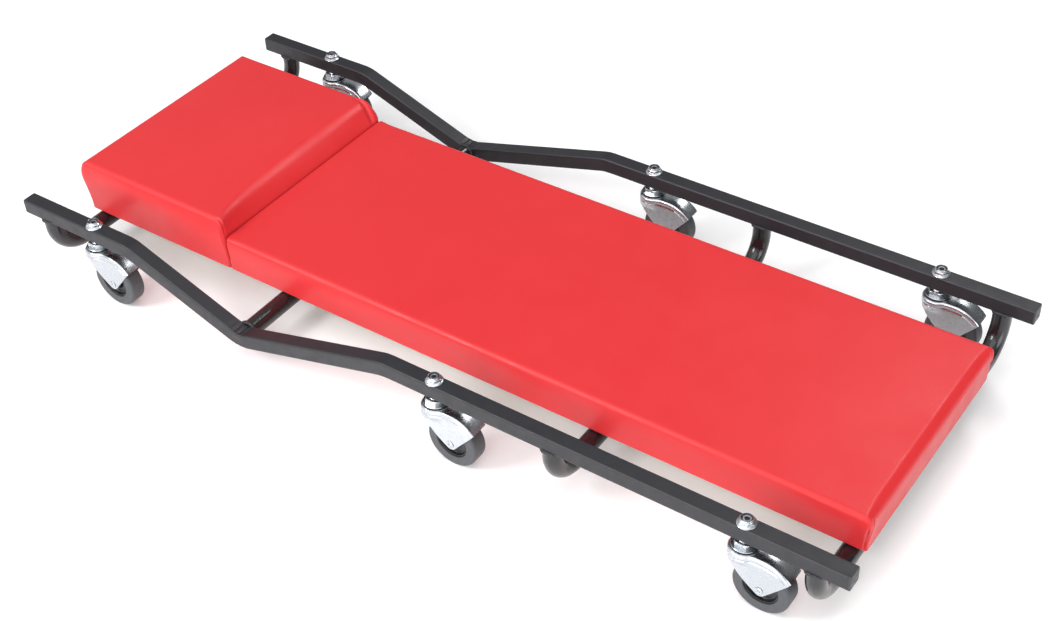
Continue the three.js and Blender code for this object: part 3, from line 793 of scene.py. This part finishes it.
class Cushion:
    """One upholstered cushion: a box worked into shape by code.

    `joint` is -1 or 1, the end along X that meets the other cushion; `end_round` is the rounding of
    the top edge at the other end.
    """

    def __init__(self, node, joint, end_round, joint_round, bulge):
        self.low, self.high = low_high(node)
        self.joint = joint
        self.end_round = end_round
        self.joint_round = joint_round
        self.bulge = bulge

    def grid(self, fine, coarse, growth=1.3, closed_at=None):
        """Shaped points and faces; `closed_at` closes the box at that height instead of hemming it."""
        bottom = self.low[2] if closed_at is None else closed_at
        xs = graded(self.low[0], self.high[0], fine, coarse, growth)
        ys = graded(self.low[1], self.high[1], fine, coarse, growth)
        zs = graded(bottom, self.high[2], fine, min(coarse, 4 * MM), growth)
        hem = [share * HEM for share in (0.12, 0.3, 0.6, 1.0)] if closed_at is None else None
        points, faces = box_grid(xs, ys, zs, hem)
        return self.shaped(points), faces

    def shaped(self, points):
        """Edges rounded by where they are, and a slight crown."""
        size = self.high - self.low
        centred = 2 * (points - self.low) / size - 1
        is_high = smooth(centred[:, 2] * 2 + 0.5)
        reach = 2.2 * self.end_round
        to_joint = np.where(self.joint > 0, self.high[0] - points[:, 0], points[:, 0] - self.low[0])
        from_end = np.where(self.joint > 0, points[:, 0] - self.low[0], self.high[0] - points[:, 0])
        at_joint = smooth(1 - to_joint / (20 * MM))
        at_end = smooth(1 - from_end / reach)
        top = CRISP_EDGE + (self.end_round - CRISP_EDGE) * at_end * (1 - centred[:, 1] ** 8)
        edge = HEM_EDGE + (top - HEM_EDGE) * is_high
        radii = np.column_stack([edge, edge, edge])
        corner = HEM_EDGE + (CORNER_ROUND - HEM_EDGE) * at_end
        radii[:, 1] = radii[:, 1] * (1 - at_end) + corner * at_end
        joint_edge = JOINT_EDGE + (self.joint_round - JOINT_EDGE) * is_high
        radii[:, ::2] += (joint_edge[:, None] - radii[:, ::2]) * at_joint[:, None]
        points = softened(points, self.low, self.high, radii)
        dome = (1 - centred[:, 0] ** 4) * (1 - centred[:, 1] ** 2)
        points[:, 2] += 0.6 * self.bulge * dome * smooth(centred[:, 2])
        towards_end = -self.joint * centred[:, 0]
        belly = self.bulge * np.sin(math.pi * ((centred[:, 2] + 1) / 2) ** 2.2)
        belly *= 1 + 0.6 * (np.clip(towards_end, 0, 1) * np.abs(centred[:, 1])) ** 12
        points[:, 1] += belly * np.sign(centred[:, 1]) * np.abs(centred[:, 1]) ** 9
        points[:, 0] -= self.joint * belly * np.clip(towards_end, 0, 1) ** 9
        gape = JOINT_GAPE * smooth(1 - to_joint / (6 * MM)) * np.abs(centred[:, 1]) ** 20
        gape *= smooth((points[:, 2] - self.low[2]) / (30 * MM))
        points[:, 0] -= self.joint * gape
        return points

    def leaned(self, points):
        return points

    def creased(self, points):
        return points

    def cover(self):
        """The finished vinyl cover, with its tucks and lapped corners."""
        points, faces = self.grid(CUSHION_FINE, CUSHION_COARSE, growth=1.1)
        points = self.creased(self.leaned(points))
        return with_thickness(mesh_from("cover", points, faces, sharp=75), VINYL, sharp=75)

    def filling(self, node):
        """The foam block, well inside the cover and standing on the board."""
        block = copy.copy(self)
        block.low, block.high = self.low + FOAM_INSET, self.high - FOAM_INSET
        points, faces = block.grid(3 * MM, 14 * MM, closed_at=low_high(node)[0][2])
        return mesh_from("foam", block.leaned(points), faces, sharp=60)


class BodyCushion(Cushion):
    def creased(self, points):
        """Lapped folds that cross the foot corners, from the foot face down to the side."""
        rise = np.clip((points[:, 2] - self.low[2]) / (self.high[2] - self.low[2]), 0, 1)
        from_foot = self.high[0] - points[:, 0]
        for sign in SIDES.values():
            from_side = np.abs(points[:, 1] - (self.low[1] if sign < 0 else self.high[1]))
            past = from_side - np.abs(from_foot) - (9 * rise**1.6 - 3) * MM
            ridge = np.where(past < 0, np.exp(past / (5 * MM)), 0)
            groove = 2.4 * np.exp(-((past / (1.3 * MM)) ** 2))
            to_corner = np.hypot(from_side, from_foot) / (14 * MM)
            near = np.exp(-(to_corner**4)) * smooth((0.98 - rise) / 0.08)
            push = 0.6 * MM * (ridge - groove) * near
            points = points + push[:, None] * np.array((1, sign, 0))
        return points


class HeadrestCushion(Cushion):
    def rise(self, points):
        """0 at the body cushion's top, 1 at the headrest's."""
        return np.clip((points[:, 2] - BODY_TOP) / (self.high[2] - BODY_TOP), 0, 1)

    def leaned(self, points):
        """The side that faces the body slopes back, except at its near corner."""
        from_joint, rise = self.high[0] - points[:, 0], self.rise(points)
        across = np.clip((points[:, 1] - self.low[1]) / (self.high[1] - self.low[1]), 0, 1)
        setback = HEADREST_SETBACK * (1 - np.exp(-across / 0.16) - 0.17 * across**6)
        bulge = 1.6 * MM * np.sin(math.pi * rise) * np.sin(math.pi * across)
        push = smooth(1 - from_joint / (75 * MM)) * (bulge - setback * rise)
        return points + push[:, None] * np.array((1, 0, 0))

    def creased(self, points):
        """On the sloping side: a tuck at the far end and the lapped edge of the near side."""
        rise = self.rise(points)
        lean = HEADREST_SETBACK * rise * (1 - np.exp(-(points[:, 1] - self.low[1]) / (47 * MM)))
        on_slope = smooth(1.5 - (self.high[0] - lean - points[:, 0]) / (9 * MM)) * smooth(rise * 5)
        past = points[:, 1] - (self.high[1] - (13 - 7 * rise) * MM)
        tuck = 1.8 * smooth(past / (4 * MM)) - 3.6 * np.exp(-((past / (2.4 * MM)) ** 2))
        lap_edge = points[:, 1] - (self.low[1] + 2.6 * MM)
        tuck -= 2 * np.exp(-((lap_edge / (1.1 * MM)) ** 2))
        return points + (on_slope * tuck * MM)[:, None] * np.array((0.75, 0, 0.5))


def pad_board():
    """A plywood panel with eased edges."""
    low, high = low_high("pad_board")
    ease, corner = 0.8 * MM, 14 * MM
    rows = [(ease, low[2]), (0, low[2] + ease), (0, high[2] - ease), (ease, high[2])]
    vertices = []
    for inset, z in rows:
        x0, y0, x1, y1 = low[0] + inset, low[1] + inset, high[0] - inset, high[1] - inset
        corners = [(x0, y0, corner), (x1, y0, corner), (x1, y1, corner), (x0, y1, corner)]
        vertices.extend((a, b, z) for a, b in rounded(corners, steps=8))
    count = len(vertices) // len(rows)
    faces = grid_faces(len(rows), count)
    faces.append(tuple(range(count))[::-1])
    faces.append(tuple(range(count * (len(rows) - 1), count * len(rows))))
    return mesh_from("pad_board", vertices, faces, sharp=35)


def pan_screw(node):
    """Pan head with a cross recess, its shank going up."""
    low, high = low_high(node)
    head_radius, head = (high[0] - low[0]) / 2, 3 * MM
    length, shank = high[2] - low[2], 2.5 * MM
    dome = [(head_radius * s, 1.1 * MM * s**2.6) for s in np.linspace(0, 0.94, 18)]
    edge = [(head_radius * 0.985, 1.7 * MM), (head_radius, 2.2 * MM), (head_radius, head)]
    profile = dome + edge + [(shank, head), (shank, length - 3 * MM), (0.3 * MM, length), (0, length)]
    points, faces = turned(profile, 48, closed=False)
    x, y = np.abs(points[:, 0]), np.abs(points[:, 1])
    in_cross = (np.minimum(x, y) < 0.5 * MM) & (np.maximum(x, y) < 2.5 * MM) & (points[:, 2] < head)
    points[in_cross, 2] += 1.3 * MM * (1 - np.maximum(x, y)[in_cross] / (3.2 * MM))
    place = Matrix.Translation((*((low + high) / 2)[:2], low[2]))
    return mesh_from("pad_screw", points, faces, sharp=45), place


def staple(x, y, z, angle):
    """A flat wire staple pressed into the hem from below."""
    wide, wire = 5 * MM, 0.55 * MM
    half = [(wide * 0.93, -0.45), (wide, 0.1), (wide, 1.4)]
    path = [(-offset, rise) for offset, rise in reversed(half)] + half
    corners = [(-1, -0.6, 0.3), (1, -0.6, 0.3), (1, 0.6, 0.3), (-1, 0.6, 0.3)]
    section = np.array(rounded(corners, steps=2)) * wire
    along = np.array((math.cos(angle), math.sin(angle), 0))
    across = np.array((-math.sin(angle), math.cos(angle), 0))
    rings = []
    for i, (offset, rise) in enumerate(path):
        upright = i in (0, 1, 4, 5)
        out = along * (1 if i > 2 else -1) if upright else np.array((0, 0, -1.0))
        centre = np.array((x, y, z + rise * MM)) + along * offset
        rings.append(centre + section[:, :1] * across + section[:, 1:] * out)
    count = len(section)
    faces = grid_faces(len(rings), count)
    faces.append(tuple(range(count)))
    faces.append(tuple(range(count * (len(rings) - 1), count * len(rings)))[::-1])
    return np.concatenate(rings), faces


def hem_staples():
    low, high = low_high("pad_board")
    inset, spacing, z = 6 * MM, 34 * MM, low_high("body_cover")[0][2] - 0.1 * MM
    spots = []
    for x in np.arange(low[0] + 22 * MM, high[0] - 18 * MM, spacing):
        spots += [(x, low[1] + inset, 0), (x, high[1] - inset, 0)]
    for y in np.arange(low[1] + 24 * MM, high[1] - 20 * MM, spacing):
        spots += [(low[0] + inset, y, math.pi / 2), (high[0] - inset, y, math.pi / 2)]
    jitter = rng.normal(0, 1, (len(spots), 2))
    parts = [
        staple(x, y, z, turn + 0.12 * wobble[0] + 0.25)
        for (x, y, turn), wobble in zip(spots, jitter)
    ]
    return mesh_from("hem_staples", *joined(parts), sharp=50)


def build_pad():
    cushions = {
        "body": BodyCushion("body_cover", -1, FOOT_ROUND, 2 * MM, 1.5 * MM),
        "headrest": HeadrestCushion("headrest_cover", 1, CRISP_EDGE, SLOPE_ROUND, 2.5 * MM),
    }
    for name, cushion in cushions.items():
        add_piece(f"cushion_{name}", cushion.cover(), "vinyl", f"{name}_cover")
        add_piece(f"foam_{name}", cushion.filling(f"{name}_foam"), "foam", f"{name}_foam")
    add_piece("board", pad_board(), "plywood", "pad_board")
    add_piece("hem_staples", hem_staples(), "zinc")
    for where in (*U_TUBE_PLACES, "waist"):
        for side in SIDES:
            node = f"pad_screw_{where}_{side}"
            mesh, place = pan_screw(node)
            add_piece(f"screw_{where}_{side}", mesh, "zinc", node, place=place)


# ---- casters, about their swivel axis

fork_low, fork_high = low_high("caster_foot_right_fork")
wheel_low, wheel_high = low_high("caster_foot_right_wheel")
stem_low, stem_high = low_high("caster_foot_right_stem")
SWIVEL = (stem_low + stem_high) / 2
AXLE = (wheel_low + wheel_high) / 2 - SWIVEL
AXLE_HEIGHT = (wheel_low[2] + wheel_high[2]) / 2
WHEEL_RADIUS = AXLE_HEIGHT
WHEEL_WIDTH = wheel_high[1] - wheel_low[1]
TRAIL = AXLE[0]
FORK_TOP = fork_high[2]
CUP_RADIUS = (fork_high[1] - fork_low[1]) / 2
LEG_HALF = 12.5 * MM  # outside of the fork legs
HOOD_END = math.radians(40)  # where the hood stops, seen from the axle
HOOD_RADIUS = (fork_high[0] - SWIVEL[0] - TRAIL) / math.cos(HOOD_END)
PIVOT_HOLE = 6.1 * MM
HOOD_START = math.pi - math.asin((FORK_TOP - AXLE_HEIGHT) / HOOD_RADIUS)
HOOD_FLAT_END = TRAIL + HOOD_RADIUS * math.cos(HOOD_START)


def bezier(points, share):
    a, b, c, d = (np.array(p, float) for p in points)
    rest = 1 - share
    return a * rest**3 + 3 * b * rest**2 * share + 3 * c * rest * share**2 + d * share**3


def fork_plan():
    """Stations round one half of the fork's plan, from the front of the cup to the hood's end:
    (x, y, outward x, outward y, spine x, spine y)."""
    stations = []
    neck_angle = math.radians(60)
    for angle in np.linspace(math.pi, neck_angle, 34):
        out = (math.cos(angle), math.sin(angle))
        turn = math.pi * (angle - neck_angle) / (math.pi - neck_angle)
        spine = (PIVOT_HOLE * math.cos(turn), PIVOT_HOLE * math.sin(turn))
        stations.append((CUP_RADIUS * out[0], CUP_RADIUS * out[1], *out, *spine))
    start = np.array(stations[-1][:2])
    tangent = np.array((math.sin(neck_angle), -math.cos(neck_angle)))
    end = np.array((20 * MM, LEG_HALF))
    curve = (start, start + tangent * 4.5 * MM, end - np.array((5 * MM, 0)), end)
    neck = [bezier(curve, s) for s in np.linspace(0, 1, 13)]
    for i in range(1, len(neck)):
        along = neck[min(i + 1, len(neck) - 1)] - neck[i - 1]
        along /= np.linalg.norm(along)
        spine_x = PIVOT_HOLE + (neck[i][0] - PIVOT_HOLE) * i / (len(neck) - 1)
        stations.append((neck[i][0], neck[i][1], -along[1], along[0], spine_x, 0))
    first = math.acos((end[0] - TRAIL) / HOOD_RADIUS)
    for angle in np.linspace(first, HOOD_END, 26)[1:]:
        x = TRAIL + HOOD_RADIUS * math.cos(angle)
        stations.append((x, LEG_HALF, 0, 1, x, 0))
    return stations


def hood_surface(x):
    """Height and outward normal (x, z) of the fork's top at x."""
    if x <= HOOD_FLAT_END:
        return FORK_TOP, np.array((0.0, 1.0))
    across = (x - TRAIL) / HOOD_RADIUS
    rise = math.sqrt(max(0, 1 - across * across))
    return AXLE_HEIGHT + HOOD_RADIUS * rise, np.array((across, rise))


def leg_edge():
    """The free edge of one leg as (x, z) points: skirt, curved front edge, tip round the axle, rear."""
    skirt = FORK_TOP - SKIRT_DEPTH
    front = np.array((-13 * MM, skirt))
    first, last = math.radians(-140), HOOD_END - math.acos(LEG_TIP / HOOD_RADIUS)
    tip = [
        np.array((TRAIL + LEG_TIP * math.cos(a), AXLE_HEIGHT + LEG_TIP * math.sin(a)))
        for a in np.linspace(first, last, 10)
    ]
    pull = np.array((-7.5 * MM, 45.5 * MM))
    edge = []
    for s in np.linspace(0, 1, 24):
        edge.append(front * (1 - s) ** 2 + 2 * pull * s * (1 - s) + tip[0] * s**2)
    edge += tip[1:]
    spoke = np.array((math.cos(HOOD_END), math.sin(HOOD_END)))
    corner = np.array((TRAIL, AXLE_HEIGHT)) + HOOD_RADIUS * spoke
    back = (corner - tip[-1]) / np.linalg.norm(corner - tip[-1])
    edge.append(corner - back * 1.2 * FOLD)
    return np.array(edge)


def along_edge(edge, share):
    """The point a share of the way along a polyline."""
    lengths = np.concatenate([[0], np.cumsum(np.linalg.norm(np.diff(edge, axis=0), axis=1))])
    at = share * lengths[-1]
    return np.array([np.interp(at, lengths, edge[:, 0]), np.interp(at, lengths, edge[:, 1])])


def fork_half(sign):
    """One half of the pressed sheet: from the spine over the top, round the fold and down the side."""
    plan = fork_plan()
    edge = leg_edge()
    skirt = FORK_TOP - SKIRT_DEPTH
    leg_start = next(i for i, station in enumerate(plan) if station[0] > -13 * MM)
    rows = []
    for i, (x, y, out_x, out_y, spine_x, spine_y) in enumerate(plan):
        out = np.array((out_x, out_y))
        inner = np.array((x, y)) - out * FOLD
        row = []
        for share in np.linspace(0, 1, 8):
            px, py = np.array((spine_x, spine_y)) * (1 - share) + inner * share
            row.append((px, py, hood_surface(px)[0]))
        height, normal = hood_surface(inner[0])
        centre = np.array((inner[0] - normal[0] * FOLD, inner[1], height - normal[1] * FOLD))
        up, side = np.array((normal[0], 0, normal[1])), np.array((out_x, out_y, 0))
        for turn in np.linspace(0, math.pi / 2, 7)[1:]:
            row.append(tuple(centre + FOLD * (up * math.cos(turn) + side * math.sin(turn))))
        top = centre + FOLD * side
        if i < leg_start:
            foot = np.array((x, y, skirt))
        else:
            foot_x, foot_z = along_edge(edge, (i - leg_start) / (len(plan) - 1 - leg_start))
            foot = np.array((foot_x, LEG_HALF, foot_z))
        cup_low = min(top[2], skirt + 1 * MM)
        drop = top[2] - foot[2]
        steps = [0.1] * len(PRESS_LINE)
        if drop > 0:
            steps = [min(step * MM / drop, 0.5) for step in PRESS_LINE]
        for k, share in enumerate([*steps, *np.linspace(steps[-1], 1, 15)[1:]]):
            z = top[2] - drop * share
            pressed = PRESS_DEPTH if k in (1, 2) and i >= leg_start and drop * share > 2 * MM else 0
            below = (cup_low - z) / max(cup_low - foot[2], 1e-6)
            slide = float(np.clip(below, 0, 1))
            inwards = float(smooth((cup_low - z) / (11 * MM))) if i >= leg_start else 0
            y_here = top[1] + (foot[1] - top[1]) * inwards - pressed
            row.append((top[0] + (foot[0] - top[0]) * slide, y_here, z))
        rows.append(np.array(row) * (1, sign, 1))
    return np.concatenate(rows), grid_faces(len(rows), len(rows[0]), wrap_columns=False)


def fork_mesh():
    halves = [fork_half(sign) for sign in (1, -1)]
    flipped = (halves[1][0], [face[::-1] for face in halves[1][1]])
    sheet = mesh_from("fork", *joined([halves[0], flipped]), sharp=50)
    make_face_out(sheet)
    return with_thickness(sheet, FORK_SHEET, sharp=40)


def make_face_out(sheet):
    """Turns an open sheet so that its topmost face looks up."""
    top = max(sheet.polygons, key=lambda face: face.center.z)
    if top.normal.z < 0:
        sheet.flip_normals()


def stem_mesh():
    """Pivot head, flange, hexagon and neck, and the stud as far as the rail's top."""
    flange_top = FORK_TOP + 3.0 * MM
    hexagon_top = FORK_TOP + 9.3 * MM
    neck, stud = 7.5 * MM, 5 * MM
    rings = [
        (0, stem_low[2], 0),
        (4 * MM, stem_low[2], 0),
        (6.6 * MM, stem_low[2] + 0.5 * MM, 0),
        (8 * MM, stem_low[2] + 1.6 * MM, 0),
        (8.5 * MM, FORK_TOP - FORK_SHEET - 0.3 * MM, 0),
        (5.8 * MM, FORK_TOP - FORK_SHEET - 0.3 * MM, 0),
        (5.8 * MM, flange_top - 1 * MM, 0),
        (14.3 * MM, flange_top - 1 * MM, 0),
        (14.6 * MM, flange_top - 0.7 * MM, 0),
        (14.6 * MM, flange_top - 0.25 * MM, 0),
        (14.3 * MM, flange_top, 0),
        (12.7 * MM, flange_top, 1),
        (12.7 * MM, hexagon_top - 1.1 * MM, 1),
        (12.2 * MM, hexagon_top - 0.8 * MM, 1),
        (11.4 * MM, hexagon_top - 0.3 * MM, 1),
        (10.6 * MM, hexagon_top, 1),
        (neck + 0.4 * MM, hexagon_top, 0),
        (neck, hexagon_top + 0.4 * MM, 0),
        (neck, RAIL_BOTTOM, 0),
        (stud, RAIL_BOTTOM, 0),
        (stud, RAIL_TOP - 1.2 * MM, 0),
        (0, RAIL_TOP - 1.2 * MM, 0),
    ]
    return mesh_from("stem", *hexagonal(rings, 22 * MM, closed=False), sharp=35)


def stud_mesh():
    """The threaded end that shows inside the nut, with a hollow in its tip."""
    radius, bore, top = 5.2, 2.6, (stem_high[2] - RAIL_TOP) / MM
    corners = [(0, -1, 0), (radius, -1, 0), (radius, top - 0.9, 0.2), (radius - 0.9, top, 0.2)]
    corners += [(bore, top, 0.4), (bore - 0.3, top - 5, 0.3), (0, top - 5.5, 0)]
    profile = np.array(rounded(corners, closed=False, steps=3)) * MM
    return mesh_from("stud", *turned(profile, 48, closed=False))


def nut_mesh():
    """Flanged lock nut whose collar is rolled over the nylon ring."""
    rings = [
        (5.3, 0.0, 0), (9.9, 0.0, 0), (10.3, 0.3, 0), (10.3, 0.8, 0), (10.0, 1.15, 0), (9.1, 1.7, 0),
        (8.8, 2.1, 0.7), (8.66, 2.5, 1), (8.66, 4.2, 1), (8.1, 4.9, 1), (7.0, 5.5, 0.6), (6.6, 5.9, 0),
        (6.6, 6.7, 0), (6.5, 7.1, 0), (6.3, 7.3, 0), (6.15, 7.2, 0), (6.1, 6.9, 0), (6.1, 5.6, 0),
        (5.3, 5.6, 0),
    ]
    rings = [(radius * MM, height * MM, share) for radius, height, share in rings]
    return mesh_from("lock_nut", *hexagonal(rings, 15 * MM), sharp=35)


def nylon_mesh():
    profile = rounded([(5.25, 5.7, 0.2), (6.05, 5.7, 0.2), (6.05, 6.8, 0.3), (5.25, 6.9, 0.3)], steps=3)
    return mesh_from("nut_nylon", *turned(np.array(profile) * MM, 48))


def race_mesh():
    low, high = low_high("caster_foot_right_race")
    radius, top = (high[0] - low[0]) / 2 / MM, (high[2] - low[2]) / MM
    corners = [(6.1, 0, 0), (12.6, 0, 0.3), (13.2, 0.5, 0.3)]
    corners += [(radius, 0.5, 0.2), (radius, top, 0.5), (6.1, top, 0)]
    return mesh_from("race", *turned(np.array(rounded(corners, steps=4)) * MM, 72))


def rivet_mesh():
    """Hollow axle rivet with a rolled head on each side, about +Z here."""
    end = middle("caster_foot_right_axle")[1] - low_high("caster_foot_right_axle")[0][1]
    end /= MM
    half = [(0, end - 2.2, 0), (1.7, end - 2.0, 0.2), (1.8, end - 0.3, 0.3), (3.3, end, 0.5)]
    half += [(4.3, end - 0.55, 0.3), (4.3, end - 1.0, 0), (3.0, end - 1.0, 0)]
    upper = rounded(half, closed=False, steps=3)
    profile = upper + [(radius, -height) for radius, height in reversed(upper)]
    return mesh_from("rivet", *turned(np.array(profile) * MM, 40, closed=False), sharp=45)


def tyre_mesh():
    inner, outer, half = 19.5 * MM, WHEEL_RADIUS, WHEEL_WIDTH / 2
    shoulder = 3.4 * MM
    corners = [
        (inner, -half + 0.6 * MM, 0.3 * MM),
        (inner + 0.9 * MM, -half, 0.5 * MM),
        (outer, -half, shoulder),
        (outer, half, shoulder),
        (inner + 0.9 * MM, half, 0.5 * MM),
        (inner, half - 0.6 * MM, 0.3 * MM),
    ]
    return mesh_from("tyre", *turned(rounded(corners, steps=7), 112), sharp=50)


def hub_mesh():
    """Hub with a thin rim, a recessed web and a boss that stands out between the legs."""
    rim, bore, boss = 19.45 * MM, 3.3 * MM, 8.5 * MM
    half, web, lip = 10.4 * MM, 4.2 * MM, 8.4 * MM
    side = [
        (bore, half, 0.3 * MM),
        (boss, half, 0.8 * MM),
        (boss + 0.7 * MM, web, 1.2 * MM),
        (rim - 2.6 * MM, web, 1.5 * MM),
        (rim - 1.7 * MM, lip, 0.5 * MM),
        (rim, lip, 0.3 * MM),
    ]
    other = [(radius, -height, corner) for radius, height, corner in reversed(side)]
    return mesh_from("hub", *turned(rounded(side + other, steps=4), 96), sharp=40)


def build_casters():
    meshes = {
        "stem": stem_mesh(),
        "stud": stud_mesh(),
        "lock_nut": nut_mesh(),
        "race": race_mesh(),
        "fork": fork_mesh(),
        "axle": rivet_mesh(),
        "tyre": tyre_mesh(),
        "hub": hub_mesh(),
        "nylon": nylon_mesh(),
    }
    looks = {"race": "steel", "stud": "steel", "tyre": "tyre", "hub": "hub", "nylon": "nylon"}
    on_axle = Matrix.Translation((TRAIL, 0, AXLE_HEIGHT)) @ Matrix.Rotation(math.pi / 2, 4, "X")
    lifts = {"lock_nut": RAIL_TOP, "nylon": RAIL_TOP, "stud": RAIL_TOP}
    lifts["race"] = low_high("caster_foot_right_race")[0][2]
    nodes = {"tyre": ["wheel"], "hub": ["wheel"], "nylon": [], "stud": []}
    for where in CASTER_PLACES:
        for side in SIDES:
            name = f"caster_{where}_{side}"
            swivel = middle(f"{name}_stem")
            base = Matrix.Translation((swivel[0], swivel[1], 0))
            for part, mesh in meshes.items():
                body = "frame"
                if part in ("fork", "axle"):
                    body = f"{name}_swivel_body"
                if part in ("tyre", "hub"):
                    body = f"{name}_wheel_body"
                place = base @ Matrix.Translation((0, 0, lifts.get(part, 0)))
                if part in ("axle", "tyre", "hub"):
                    place = base @ on_axle
                look = looks.get(part, "zinc")
                stood_for = [f"{name}_{node}" for node in nodes.get(part, [part])]
                piece_name = f"{where}_{side}_{part}"
                add_piece(piece_name, mesh.copy(), look, *stood_for, body=body, place=place)


# ---- studio


LIT_FROM = (-0.25, -0.9, 0.35)  # side the studio is brightest on, seen from the part
CAMERA_PLACE = (0.9203, -1.1837, 1.2713)  # found by fitting the camera to the photograph
CAMERA_TURN, CAMERA_DOWN, CAMERA_ROLL = 36.99, 40.13, -3.28  # degrees
CAMERA_LENS = 56.2


def build_floor():
    bpy.ops.mesh.primitive_plane_add(size=40, location=(0, 0, 0))
    floor = bpy.context.object
    floor.name = "floor"
    finish = Finish("studio_floor", (0.95, 0.95, 0.955), 0.28)
    finish.stain(finish.noise(3, 3), 0.4, 0.7, 0.3, (0.93, 0.93, 0.94))
    finish.set("Specular IOR Level", 0.3)
    finish.set("Emission Color", (1, 1, 1, 1))
    finish.set("Emission Strength", 0.12)
    floor.data.materials.append(finish.material)


def build_world():
    """A white studio: it lights the part from the camera's side, dimmer on the far side, and the
    backdrop itself looks pale from every angle."""
    world = bpy.data.worlds.new("studio")
    bpy.context.scene.world = world
    world.use_nodes = True
    tree = world.node_tree
    background = tree.nodes["Background"]
    background.inputs["Color"].default_value = (0.98, 0.99, 1.0, 1)
    place = tree.nodes.new("ShaderNodeTexCoord")
    towards = tree.nodes.new("ShaderNodeVectorMath")
    towards.operation = "DOT_PRODUCT"
    towards.inputs[1].default_value = LIT_FROM
    strength = tree.nodes.new("ShaderNodeMapRange")
    set_range(strength, -0.8, 0.8, 0.12, 0.9)
    tree.links.new(place.outputs["Generated"], towards.inputs[0])
    tree.links.new(towards.outputs["Value"], strength.inputs["Value"])
    sight = tree.nodes.new("ShaderNodeLightPath")
    seen = tree.nodes.new("ShaderNodeMath")
    seen.operation = "MAXIMUM"
    tree.links.new(strength.outputs["Result"], seen.inputs[0])
    tree.links.new(sight.outputs["Is Camera Ray"], seen.inputs[1])
    tree.links.new(seen.outputs["Value"], background.inputs["Strength"])


def build_lamps():
    lamps = [
        ("overhead", (0.5, -0.8, 2.4), (0, 0, 0), 2.2, 17),
        ("front", (0.4, -2.7, 0.7), (0.1, 0, 0.05), 1.8, 40),
        ("key_left", (-1.2, -1.75, 1.75), (0, 0, 0), 0.7, 29),
        ("rim_far", (0.4, 1.65, 2.1), (0, 0, 0), 0.8, 17),
        ("fill_right", (2.7, -0.4, 0.6), (0.3, 0, 0), 1.4, 20),
    ]
    for name, place, target, size, power in lamps:
        light = bpy.data.lights.new(name, "AREA")
        light.shape = "SQUARE"
        light.size = size
        light.energy = power
        lamp = bpy.data.objects.new(name, light)
        bpy.context.scene.collection.objects.link(lamp)
        lamp.location = place
        lamp.rotation_euler = (Vector(target) - Vector(place)).to_track_quat("-Z", "Y").to_euler()


def build_camera():
    """Looks along the object from beyond the near foot corner, with a small roll."""
    camera = bpy.data.objects.new("camera", bpy.data.cameras.new("camera"))
    bpy.context.scene.collection.objects.link(camera)
    camera.data.lens = CAMERA_LENS
    camera.data.sensor_width = 36
    turn = Matrix.Rotation(math.radians(CAMERA_TURN), 4, "Z")
    tilt = Matrix.Rotation(math.radians(90 - CAMERA_DOWN), 4, "X")
    roll = Matrix.Rotation(math.radians(CAMERA_ROLL), 4, "Z")
    camera.matrix_world = Matrix.Translation(CAMERA_PLACE) @ turn @ tilt @ roll
    bpy.context.scene.camera = camera


build_frame()
build_pad()
build_casters()
build_floor()
build_world()
build_lamps()
build_camera()
bpy.context.scene.view_settings.view_transform = "Standard"
